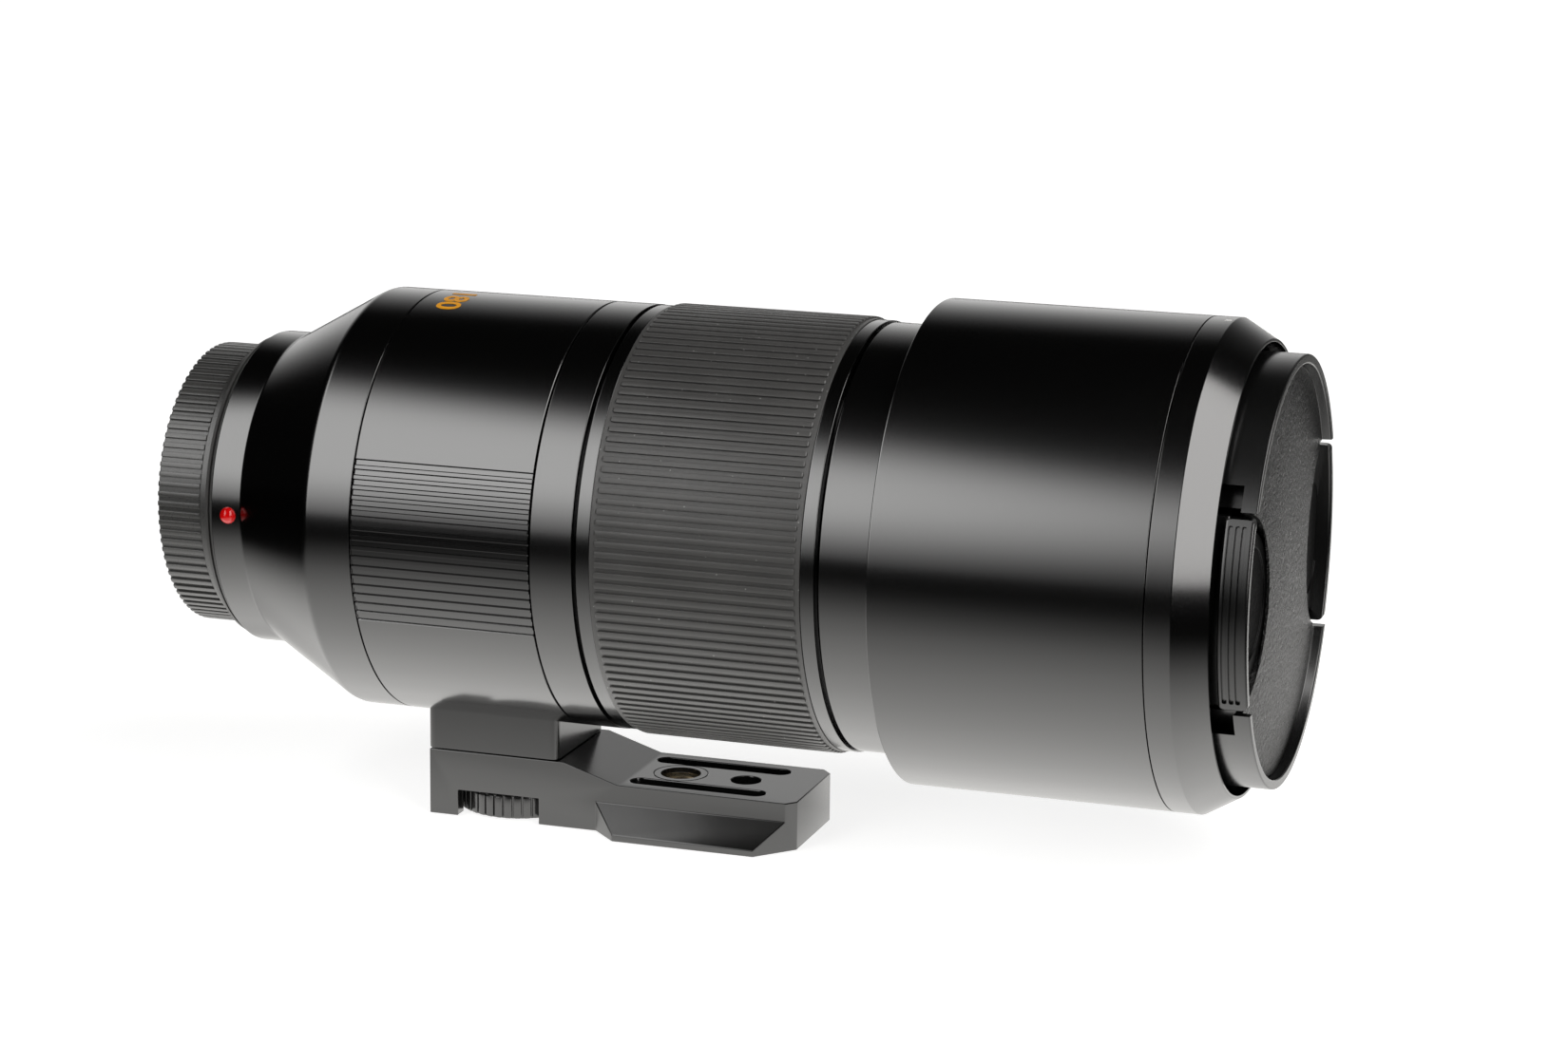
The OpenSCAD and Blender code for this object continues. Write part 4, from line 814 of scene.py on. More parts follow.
@dataclass
class Studio:
    """Camera, white table, soft boxes and backdrop."""

    azimuth: float = 18.226
    elevation: float = 12.758
    roll: float = 0.719
    distance: float = 798.643
    target: Triple = (115.247, 0.0, 1.198)
    focal_px: float = 4112.646
    picture_w: int = 1650
    table: float = -64.7
    table_glow: Sequence[Point] = ((-0.45, 0.004), (-0.30, 0.03), (-0.21, 0.11), (-0.167, 0.2), (-0.115, 0.39),
                                   (-0.086, 0.54), (-0.067, 0.66), (-0.052, 0.78), (-0.036, 0.93), (-0.022, 1.0),
                                   (-0.008, 0.94), (0.006, 0.72), (0.02, 0.6), (0.15, 0.6))
    table_fade: Point = (0.1, 0.8)
    table_white: Point = (0.8, 0.95)
    window_left: Point = (-0.163, 0.002)
    window_right: Point = (0.202, 0.342)
    window_level: float = 1.79
    backdrop_top: Point = (0.12, 0.72)
    backdrop_near: Point = (0.35, 0.75)
    backdrop_left: Point = (-0.95, -0.6)
    backdrop_right: Point = (-0.3, 0.2)
    room_level: float = 0.004
    panel_x: float = -0.3
    panel_low: Point = (0.62, -0.14)
    panel_high: Point = (-2.32, 0.935)
    panel_low_fade: Point = (0.0, 0.656)
    panel_high_fade: Point = (-0.2125, 0.2125)
    panel_left: Point = (-0.62, -0.5)
    panel_right: Point = (-0.309, -0.063)
    panel_level: float = 2.65

    def build(self) -> None:
        """Sets up the whole studio."""
        bpy.context.scene.view_settings.view_transform = "Standard"
        self.camera()
        self.floor()
        self.sky()
        self.soft_box("right_box", place=(0.78, -0.59, 0.379), facing=(-0.699, -0.252, -0.669), turn=23.5,
                      size=(1.627, 0.5), level=2.9)

    def camera(self) -> None:
        """Places the camera where the picture was taken from."""
        a, e, roll = (math.radians(v) for v in (self.azimuth, self.elevation, self.roll))
        back = Vector((math.sin(a) * math.cos(e), -math.cos(a) * math.cos(e), math.sin(e)))
        right = (-back).cross(Vector((0, 0, 1))).normalized()
        up = right.cross(-back)
        across = right * math.cos(roll) + up * math.sin(roll)
        upright = up * math.cos(roll) - right * math.sin(roll)
        data = bpy.data.cameras.new("camera")
        data.sensor_width = 36.0
        data.lens = self.focal_px / self.picture_w * data.sensor_width
        data.sensor_fit = "HORIZONTAL"
        data.clip_start, data.clip_end = 0.01, 100.0
        camera = added("camera", data)
        place = (Vector(self.target) + back * self.distance) * MM
        turn = Matrix((across, upright, back)).transposed().to_4x4()
        camera.matrix_world = Matrix.Translation(place) @ turn
        bpy.context.scene.camera = camera

    def floor(self) -> None:
        """Lays the table that the lens stands on: white to the camera, and graded in reflections."""
        size = 8.0
        mesh = bpy.data.meshes.new("table")
        z = self.table * MM - 0.0002
        mesh.from_pydata([(-size, -size, z), (size, -size, z), (size, size, z), (-size, size, z)], [],
                         [(0, 1, 2, 3)])
        material = bpy.data.materials.new("white_table")
        material.use_nodes = True
        material.node_tree.nodes.clear()
        desk = NodeDesk(material.node_tree)
        parts = desk.add("ShaderNodeSeparateXYZ", {0: desk.place()}).outputs
        paper = desk.add("ShaderNodeBsdfDiffuse", {"Color": (0.8, 0.8, 0.79, 1.0)})
        white = desk.add("ShaderNodeEmission", {"Color": (1.0, 1.0, 1.0, 1.0),
                                                "Strength": desk.fade(parts["Y"], *self.table_fade, *self.table_white)})
        near, far = self.table_glow[0][0], self.table_glow[-1][0]
        ramp = desk.add("ShaderNodeValToRGB", {"Fac": desk.spread(parts["Y"], 0.0, 1.0, near, far)})
        stops = ramp.color_ramp.elements
        for spot, level in self.table_glow:
            stop = stops.new((spot - near) / (far - near))
            stop.color = (level, level, level, 1.0)
        stops.remove(stops[0])
        stops.remove(stops[len(stops) - 1])
        window = desk.maths("MULTIPLY", desk.fade(parts["X"], *self.window_left, 0.0, self.window_level),
                            desk.fade(parts["X"], *self.window_right, 1.0, 0.0))
        glow = desk.add("ShaderNodeEmission", {"Color": (1.0, 0.99, 0.965, 1.0),
                                               "Strength": desk.maths("MULTIPLY", window, ramp.outputs["Color"])})
        seen = desk.add("ShaderNodeAddShader", {0: paper.outputs[0], 1: white.outputs[0]})
        path = desk.add("ShaderNodeLightPath").outputs["Is Camera Ray"]
        both = desk.add("ShaderNodeMixShader", {0: path, 1: glow.outputs[0], 2: seen.outputs[0]})
        desk.add("ShaderNodeOutputMaterial", {"Surface": both.outputs[0]})
        mesh.materials.append(material)
        obj = added("table", mesh)

    def sky(self) -> None:
        """Makes the room: white to the camera, and in reflections a backdrop that fades upwards, dark in front."""
        world = bpy.data.worlds.new("room")
        bpy.context.scene.world = world
        world.use_nodes = True
        world.node_tree.nodes.clear()
        desk = NodeDesk(world.node_tree)
        parts = desk.add("ShaderNodeSeparateXYZ", {0: desk.add("ShaderNodeTexCoord").outputs["Generated"]}).outputs
        x, y, z = (parts[axis] for axis in "XYZ")
        high = desk.fade(z, *self.backdrop_top, 1.0, 0.0)
        behind = desk.fade(y, *self.backdrop_near, 0.0, 1.0)
        across = desk.maths("MULTIPLY", behind, desk.fade(x, *self.backdrop_right, 1.0, 0.15))
        across = desk.maths("MULTIPLY", across, desk.fade(x, *self.backdrop_left, 0.55, 1.0))
        backdrop = desk.maths("MULTIPLY_ADD", high, across, self.room_level)
        room = desk.maths("ADD", backdrop, self.panel(desk, x, y, z))
        seen = desk.add("ShaderNodeLightPath").outputs["Is Camera Ray"]
        shade = desk.add("ShaderNodeBackground", {"Color": (1.0, 0.995, 0.985, 1.0),
                                                  "Strength": desk.maths("MAXIMUM", room, seen)})
        desk.add("ShaderNodeOutputWorld", {"Surface": shade.outputs[0]})

    def panel(self, desk: NodeDesk, x: Socket, y: Socket, z: Socket) -> Socket:
        """The large soft panel to the left of the camera, from the table up, that makes the long highlight.

        Args:
            desk: The room's desk.
            x: The direction along the lens.
            y: The direction away from the camera.
            z: The direction upwards.

        Returns:
            The panel's brightness.
        """
        lift = desk.maths("ARCTAN2", z, desk.maths("MULTIPLY", y, -1.0))
        lean = desk.maths("SUBTRACT", x, self.panel_x)
        above = desk.maths("SUBTRACT", lift, desk.maths("MULTIPLY_ADD", lean, *self.panel_low))
        below = desk.maths("SUBTRACT", lift, desk.maths("MULTIPLY_ADD", lean, *self.panel_high))
        span = desk.maths("MULTIPLY", desk.fade(above, *self.panel_low_fade, 0.0, 1.0),
                          desk.fade(below, *self.panel_high_fade, 1.0, 0.0))
        ends = desk.maths("MULTIPLY", desk.fade(x, *self.panel_left, 0.0, 1.0),
                          desk.fade(x, *self.panel_right, self.panel_level, 0.0))
        return desk.maths("MULTIPLY", span, ends)

    def soft_box(self, name: str, place: Triple, facing: Triple, turn: float, size: Point,
                 level: float) -> None:
        """Hangs one soft box.

        Args:
            name: The lamp's name.
            place: Where its middle hangs, in metres.
            facing: The direction that it faces.
            turn: Its turn in its own plane, in degrees.
            size: Its width and height.
            level: Its brightness, where white paper in full light is 1.
        """
        data = bpy.data.lights.new(name, "AREA")
        data.shape = "RECTANGLE"
        data.size, data.size_y = size
        data.energy = level * math.pi * size[0] * size[1]
        data.color = (1.0, 0.985, 0.97)
        lamp = added(name, data)
        ahead = Vector(facing).normalized()
        side = ahead.cross(Vector((0, 0, 1))).normalized()
        axes = Matrix((side, side.cross(ahead), -ahead)).transposed().to_4x4()
        lamp.matrix_world = Matrix.Translation(place) @ axes @ Matrix.Rotation(math.radians(turn), 4, "Z")
        lamp.visible_camera = False


# The lens


@dataclass
class Assembly:
    """A part of the lens that is built at one go, in the lens's finishes."""

    look: Finishes

    def build(self) -> None:
        """Makes the part's pieces."""
        raise NotImplementedError


@dataclass
class RearBarrel(Assembly):
    """The mount end: flange, cone and index bead."""

    flange_t: float = 2.0
    rear_r: float = 33.0
    rear_len: float = 8.9
    cone_len: float = 19.3
    blend_r: float = 1.5
    end_x: float = 38.1
    barrel_r: float = 44.0
    bore_r: float = 41.35
    seat_x: float = 29.4
    wall: float = 2.5
    bead_x: float = 6.0
    bead_r: float = 1.75
    bead_root: float = 1.7
    bead_clock: float = 269.0
    throat_x: float = 5.0
    throat_r: float = 22.4
    seal: Sequence[Point] = ((0.3, 31.3), (0.3, 31.9), (0.95, 32.05), (1.1, 31.55), (1.4, 31.55), (1.5, 32.2),
                             (2.0, 32.3), (2.0, 31.3))

    def profile(self) -> list[Point]:
        """The barrel's section, with the hollow blend between the cylinder and the cone.

        Returns:
            The closed profile.
        """
        slope = math.atan((self.barrel_r - self.rear_r) / self.cone_len)
        start = self.rear_len - self.blend_r * math.tan(slope / 2)
        blend = [(start + self.blend_r * math.sin(slope * i / 10),
                  self.rear_r + self.blend_r * (1 - math.cos(slope * i / 10))) for i in range(11)]
        inner = self.rear_r - self.wall
        foot = self.rear_len + self.wall * math.tan(slope / 2)
        main_in = self.bore_r - 0.05 - self.wall
        edge = self.rear_len + self.cone_len
        outside = [(self.flange_t + 0.2, self.rear_r - 0.2), (self.flange_t + 0.4, self.rear_r), *blend,
                   *[(edge - d, self.barrel_r - d * math.tan(slope)) for d in (0.9, 0.7)],
                   (edge - 0.15, self.barrel_r - 0.14), (edge + 0.3, self.barrel_r - 0.02),
                   (edge + 0.7, self.barrel_r), (edge + 0.9, self.barrel_r)]
        rim = rounded([(self.end_x - 1.0, self.barrel_r), (self.end_x, self.barrel_r), (self.end_x, self.bore_r)],
                      0.15)[CORNER:2 * CORNER]
        inside = [(self.end_x, self.bore_r), (self.seat_x, self.bore_r), (self.seat_x, main_in),
                  (foot + (main_in - inner) / math.tan(slope), main_in), (foot, inner), (self.throat_x, inner),
                  (self.throat_x, self.throat_r), (self.flange_t + 0.2, self.throat_r)]
        return outside + rim + inside

    def build(self) -> None:
        """Makes the barrel's end and dresses the mount."""
        piece("rear_barrel_turned", turned_mesh(self.profile()), Body.BARREL, self.look.anodised,
              ["rear_barrel"])
        dome = [(self.bead_r * math.cos(a), self.bead_r * math.sin(a))
                for a in (math.radians(90 * i / 14) for i in range(15))]
        root = -self.bead_root
        bead = turned_mesh([(root, 0.0), (root, self.bead_r), *dome[::-1]], 64)
        place = on_clock(self.bead_x, self.rear_r - 0.25, self.bead_clock)
        outward = Vector((0, place.y, place.z)).normalized()
        turn = Vector((1, 0, 0)).rotation_difference(outward).to_matrix().to_4x4()
        bead.transform(Matrix.Translation(place) @ turn)
        piece("index_bead_dome", bead, Body.BARREL, self.look.bead, ["index_bead"])
        piece("mount_seal_lips", turned_mesh(self.seal), Body.BARREL, self.look.rubber, ["mount_seal"])
        paint(self.look.mount, "bayonet_mount")
        paint(self.look.steel, "mount_screws", "focus_rods", "focus_magnets")
        paint(self.look.brass, "contact_pins")
        paint(self.look.cap_plastic, "contact_block", "rear_baffle", "iris_blades")
        paint(self.look.board, "circuit_board")


@dataclass
class RearCap(Assembly):
    """The ribbed cup over the mount."""

    rear_x: float = -11.8
    mouth_x: float = -0.4
    band: float = 1.7
    r_out: float = 29.7
    r_in: float = 26.8
    floor: float = 1.6
    ribs: int = 90
    rib_depth: float = 0.5
    rib_w: float = 1.12
    rib_h: float = 1.2
    lug: tuple[float, ...] = (-3.6, -2.0, 24.6, 27.2)

    def build(self) -> None:
        """Makes the cup and its ribs."""
        valley = self.r_out - self.rib_depth
        step_x = self.mouth_x - self.band
        cup = rounded([(self.rear_x, 0.0), (self.rear_x + self.floor, 0.0), (self.rear_x + self.floor, self.r_in),
                       (self.mouth_x, self.r_in), (self.mouth_x, self.r_out), (step_x, self.r_out),
                       (step_x, valley), (self.rear_x, valley)], 0.3)
        lugs = lug_ring(block(*self.lug), count=4, half=19, steps=16)
        length = step_x - self.rear_x + 0.2
        bars = Bars(length, self.rib_w, self.rib_h, 0.14, self.r_out - 0.02, self.ribs, end=0.35).mesh(
            self.rear_x + length / 2, self.look.rear_plastic)
        body = merged(turned_mesh(cup), *lugs, bars)
        piece("rear_cap_cup", body, Body.REAR_CAP, self.look.rear_plastic, ["rear_cap"])


@dataclass
class Collar(Assembly):
    """The turning tripod collar with its grip grooves, lug and lock."""

    start_x: float = 38.3
    end_x: float = 76.6
    r_out: float = 44.0
    r_in: float = 41.6
    edge: float = 0.2
    grooves: int = 17
    groove_pitch: float = 2.67
    groove_w: float = 1.4
    groove_wall: float = 0.24
    groove_depth: float = 0.42
    groove_clock: float = 270.1
    lug_x: float = 41.65
    lug_len: float = 29.1
    lug_w: float = 26.6
    lug_z: float = -50.35
    lug_top: float = -30.0
    bowl: Point = (20.0, 90.0)
    axis_x: float = 57.4
    boss: tuple[float, ...] = (42.5, 46.2, 0.0, 6.5)
    knob_section: Sequence[Point] = ((46.5, 0.0), (46.5, 7.9), (55.0, 7.9), (55.0, 6.6), (54.5, 6.2), (54.5, 0.0))
    knob_x: float = 50.75
    numeral_h: float = 5.0
    numeral_x: float = 42.8
    numeral_clock: float = 186.5

    def outline(self) -> list[Point]:
        """The outer outline as clock angles and depths, with the grooves.

        Returns:
            Pairs of clock angle and depth below the skin.
        """
        half = math.degrees(self.groove_w / 2 / self.r_out)
        wall = half - math.degrees(self.groove_wall / self.r_out)
        centres = [self.groove_clock + (i - (self.grooves - 1) / 2) * self.groove_pitch
                   for i in range(self.grooves)]
        points: list[Point] = []
        for c in centres:
            points += [(c - half, 0.0), (c - wall, self.groove_depth), (c, self.groove_depth),
                       (c + wall, self.groove_depth), (c + half, 0.0), (c + self.groove_pitch / 2, 0.0)]
        last = points[-1][0]
        first = points[0][0] + 360
        steps = 220
        points += [(last + (first - last) * i / steps, 0.0) for i in range(1, steps)]
        return points

    def ring(self) -> Mesh:
        """The collar's ring.

        Returns:
            The mesh.
        """
        points = self.outline()
        bm = bmesh.new()
        layers: list[list[bmesh.types.BMVert]] = []
        soft = self.edge / 2
        for x, drop, cut in ((self.start_x, self.edge, 0.0), (self.start_x + soft, soft * 0.6, 0.6),
                             (self.start_x + self.edge, 0.0, 1.0), (self.end_x - self.edge, 0.0, 1.0),
                             (self.end_x - soft, soft * 0.6, 0.6), (self.end_x, self.edge, 0.0)):
            layers.append([bm.verts.new(on_clock(x, self.r_out - max(drop, depth * cut), clock))
                           for clock, depth in points])
        for x in (self.end_x, self.start_x):
            layers.append([bm.verts.new(on_clock(x, self.r_in, clock)) for clock, _ in points])
        for here, there in zip(layers, layers[1:] + layers[:1]):
            skin(bm, here, there)
        return closed(bm)

    def build(self) -> None:
        """Makes the collar, its lug and its lock knob."""
        half = self.lug_w / 2
        plan = block(self.lug_x, self.lug_x + self.lug_len, -half, half)
        (x0, x1), seat = self.bowl, self.r_out - 0.3
        bowl = turned_mesh([(x0, 0.0), (x0, seat), (x1, seat), (x1, 0.0)])
        lug = combined(extruded_mesh(rounded(plan, 1.6, 6), self.lug_z, self.lug_top, along_z), [bowl])
        piece("collar_lug", softened(lug, 0.35, 50), Body.COLLAR, self.look.foot, ["tripod_collar"])
        boss = stood(turned_mesh(rounded(block(*self.boss), 0.4), 96), (self.axis_x, 0, 0), 90, "Z")
        piece("collar_ring", merged(self.ring(), boss), Body.COLLAR, self.look.anodised,
              ["tripod_collar"])
        self.knob()
        self.numerals()

    def knob(self) -> None:
        """Makes the lock knob with its flutes."""
        core = turned_mesh(rounded(self.knob_section, 0.35), 128)
        flutes = Bars(length=7.9, width=1.9, height=1.6, corner=0.5, radius=8.5, count=18)
        flutes = flutes.mesh(self.knob_x, self.look.anodised)
        knob = stood(merged(core, flutes), (self.axis_x, 0, 0), 90, "Z")
        piece("lock_knob_fluted", knob, Body.LOCK_KNOB, self.look.anodised, ["lock_knob"])
        paint(self.look.steel, "lock_screw")

    def numerals(self) -> None:
        """Prints the collar's angle at its top, as plain numbers."""
        mesh = printed_mesh("180", self.numeral_h, self.numeral_x, self.r_out, self.numeral_clock)
        piece("collar_angle", mesh, Body.COLLAR, self.look.orange)


def printed_mesh(words: str, height: float, x: float, radius: float, clock: float, stretch: float = 1.2,
                 bold: float = 0.13) -> Mesh:
    """Wraps plain numbers round a cylinder, with their tops towards the front.

    Args:
        words: The numbers.
        height: Their height.
        x: Place of their feet along the axis.
        radius: The cylinder's radius.
        clock: Clock angle of their middle.
        stretch: How much wider they are than the plain font.
        bold: How far their strokes are thickened.

    Returns:
        The mesh.
    """
    curve = bpy.data.curves.new("numbers", "FONT")
    curve.body = words
    curve.align_x = "CENTER"
    curve.size = height * MM / 0.7
    curve.extrude = 0.03 * MM
    curve.offset = bold * MM
    mesh = evaluated(curve)
    for vertex in mesh.vertices:
        u, v, w = vertex.co / MM
        vertex.co = on_clock(x + v, radius + 0.05 + w, clock + math.degrees(stretch * u / radius))
    return mesh


@dataclass
class Foot(Assembly):
    """The dovetail foot and the thumbwheel that holds it."""

    base_z: float = -64.7
    wheel_x: float = 57.4
    wheel_r: float = 13.2
    wheel_t: float = 5.0
    wheel_gap: float = 0.3
    teeth: int = 40
    tooth: float = 0.5
    tooth_w: float = 1.75
    thread_x: float = 93.25
    thread_r: float = 4.76
    thread_turns: int = 8
    thread_form: Sequence[Point] = ((0.1, 0.0), (0.25, 0.0), (0.65, 0.55), (0.7, 0.55))
    lip_t: float = 1.1
    lip_r: float = 4.2
    plate_t: float = 10.3
    hub_r: float = 3.05
    insert_r: float = 5.6
    root_r: float = 5.0

    def build(self) -> None:
        """Makes the foot and its wheel."""
        piece("foot_rail", softened(solid_copy("tripod_foot"), 0.35), Body.COLLAR, self.look.foot,
              ["tripod_foot"])
        low = self.wheel_gap
        core = turned_mesh(rounded(block(low, low + self.wheel_t, self.hub_r, self.wheel_r - self.tooth), 0.3), 160)
        teeth = Bars(self.wheel_t - 0.1, self.tooth_w, 1.4, 0.22, self.wheel_r, self.teeth, end=0.5).mesh(
            low + self.wheel_t / 2, self.look.foot)
        wheel = stood(merged(core, teeth), (self.wheel_x, 0, self.base_z), -90, "Y")
        piece("foot_wheel_toothed", wheel, Body.FOOT_WHEEL, self.look.foot, ["foot_wheel"])
        lip, r = self.plate_t - self.lip_t, self.insert_r
        pitch = lip / self.thread_turns
        teeth_in = [(i * pitch + d * pitch, self.thread_r + rise) for i in range(self.thread_turns)
                    for d, rise in self.thread_form]
        rim = rounded([(lip, r), (lip, self.lip_r), (self.plate_t, self.lip_r), (self.plate_t, r)], 0.12)
        insert = [(0.0, r), (0.0, self.root_r), *teeth_in, (lip - 0.05, self.root_r), (lip - 0.05, r)]
        for name, profile, finish in (("thread_insert_cut", insert, self.look.bronze),
                                      ("thread_insert_lip", rim, self.look.foot)):
            mesh = stood(turned_mesh(profile, 96), (self.thread_x, 0, self.base_z), -90, "Y")
            piece(name, mesh, Body.COLLAR, finish, ["thread_insert"])
        paint(self.look.steel, "foot_screw", "foot_dowels")


@dataclass
class GripRing(Assembly):
    """A turning ring: a metal sleeve with a ribbed rubber band."""

    name: str
    body: Body
    start_x: float
    end_x: float
    rim: float
    r_in: float
    rim_r: float
    seat_r: float
    grip_r: float
    ribs: int = 132
    rib_depth: float = 0.42
    rib_w: float = 1.2
    band: float = 1.0

    def build(self) -> None:
        """Makes the sleeve and the rubber."""
        x0, x1 = self.start_x + self.rim, self.end_x - self.rim
        sleeve = rounded([(self.start_x, self.r_in), (self.end_x, self.r_in), (self.end_x, self.rim_r),
                          (x1, self.rim_r), (x1, self.seat_r), (x0, self.seat_r), (x0, self.rim_r),
                          (self.start_x, self.rim_r)], 0.15)
        piece(f"{self.name}_sleeve_turned", turned_mesh(sleeve), self.body, self.look.anodised,
              [f"{self.name}_sleeve"])
        valley, inner = self.grip_r - self.rib_depth, self.seat_r + 0.05
        tube = rounded(block(x0 + 0.06, x1 - 0.06, inner, valley), 0.12)
        bars = Bars(x1 - x0 - 2 * self.band, self.rib_w, self.rib_depth * 2, 0.13, self.grip_r, self.ribs,
                    end=0.5).mesh((x0 + x1) / 2, self.look.rubber)
        grip = merged(turned_mesh(tube, 264), bars)
        piece(f"{self.name}_rubber", grip, self.body, self.look.rubber, [f"{self.name}_grip"])


@dataclass
class FixedRings(Assembly):
    """The fixed rings in front of the collar: middle ring, front barrel and filter ring."""

    mid: Point = (77.0, 85.8)
    front: Point = (136.7, 150.4)
    neck: Point = (148.4, 198.4)
    neck_in: float = 39.6
    neck_r: float = 41.0
    stop_x: float = 201.4
    filter: Point = (191.2, 209.4)
    barrel_r: float = 44.0
    front_r: float = 43.6
    bore_r: float = 41.35
    lug: tuple[float, ...] = (204.2, 206.2, 42.0, 44.4)
    mark_x: Point = (140.0, 142.2)
    mark_clock: Point = (172.0, 173.2)

    def build(self) -> None:
        """Makes the rings and their marks."""
        (x0, x1), (n0, n1), (f0, f1) = self.front, self.neck, self.filter
        mid = turned_mesh(rounded(block(*self.mid, self.bore_r, self.barrel_r), 0.15))
        front = turned_mesh(rounded(
            [(x0, self.bore_r), (n0, self.bore_r), (n0, self.neck_in), (n1, self.neck_in), (n1, self.neck_r),
             (x1, self.neck_r), (x1, self.front_r), (x0, self.front_r)], 0.15))
        ring = turned_mesh(rounded(
            [(f0, self.neck_r + 0.05), (n1, self.neck_r + 0.05), (n1, self.neck_in), (self.stop_x, self.neck_in),
             (self.stop_x, self.neck_r), (f1, self.neck_r), (f1, self.front_r), (f0, self.front_r)], 0.3))
        ring = merged(ring, *lug_ring(block(*self.lug), count=3, half=20, steps=20))
        for node, mesh in (("mid_ring", mid), ("front_barrel", front), ("filter_ring", ring)):
            piece(f"{node}_turned", mesh, Body.BARREL, self.look.anodised, [node])
        mark = swept_mesh(block(*self.mark_x, self.front_r - 0.2, self.front_r + 0.03), *self.mark_clock, 2)
        piece("barrel_index", mark, Body.BARREL, self.look.white)
        paint(self.look.anodised, "main_barrel", "front_cell", "front_retainer", "rear_cell", "relay_cell",
              "iris_base", "iris_cover")
        paint(self.look.glass, "front_lens", "second_lens", "rear_lens", "relay_lens")


class InnerWorks(Assembly):
    """The zoom mechanism and the focus group inside the barrel."""

    def build(self) -> None:
        """Gives the inner pieces their self.look."""
        paint(self.look.alloy, "guide_tube", "cam_retainer", "cam_barrel")
        paint(self.look.steel, "zoom_key")
        paint(self.look.anodised, "variator_cell", "compensator_cell", "focus_cell")
        paint(self.look.glass, "variator_lens", "compensator_lens", "focus_lens")
        paint(self.look.brass, "variator_rollers", "compensator_rollers")
        paint(self.look.copper, "focus_coils")


@dataclass
class Hood(Assembly):
    """The hood, put on backwards: its tube and its bayonet ring."""

    mouth_x: float = 147.9
    seam_x: float = 202.0
    end_x: float = 213.6
    r_out: float = 49.2
    wall: float = 1.8
    chamfer: float = 6.5
    drop: float = 3.8
    bore: float = 44.8
    seam: float = 0.22
    spigot: float = 5.4
    lug: tuple[float, ...] = (201.8, 203.8, 44.0, 45.6)
    mark_x: Point = (205.3, 206.6)
    mark_clock: Point = (179.9, 181.5)

    def build(self) -> None:
        """Makes the tube and the ring."""
        r_in = self.r_out - self.wall
        tube_end, ring_end = self.seam_x - self.seam / 2, self.seam_x + self.seam / 2
        tube = rounded(block(self.mouth_x, tube_end, r_in, self.r_out), 0.12)
        mouth = rounded([(tube_end, self.r_out), (self.mouth_x, self.r_out), (self.mouth_x, r_in)], 0.3)
        tube[-CORNER:] = mouth[CORNER:2 * CORNER]
        piece("hood_tube_turned", turned_mesh(tube, 256), Body.HOOD, self.look.hood, ["hood_tube"])
        spigot = self.seam_x - self.spigot
        ring = rounded([(spigot, self.bore), (self.end_x, self.bore), (self.end_x, self.r_out - self.drop),
                        (self.end_x - self.chamfer, self.r_out), (ring_end, self.r_out),
                        (ring_end, r_in - 0.05), (spigot, r_in - 0.05)], 0.12)
        ring = merged(turned_mesh(ring, 256), *lug_ring(block(*self.lug), count=3, half=20, steps=20))
        piece("hood_ring_turned", ring, Body.HOOD, self.look.hood, ["hood_ring"])
        mark = swept_mesh(block(*self.mark_x, self.r_out - 0.2, self.r_out + 0.03), *self.mark_clock, 2)
        piece("hood_index", mark, Body.HOOD, self.look.white)


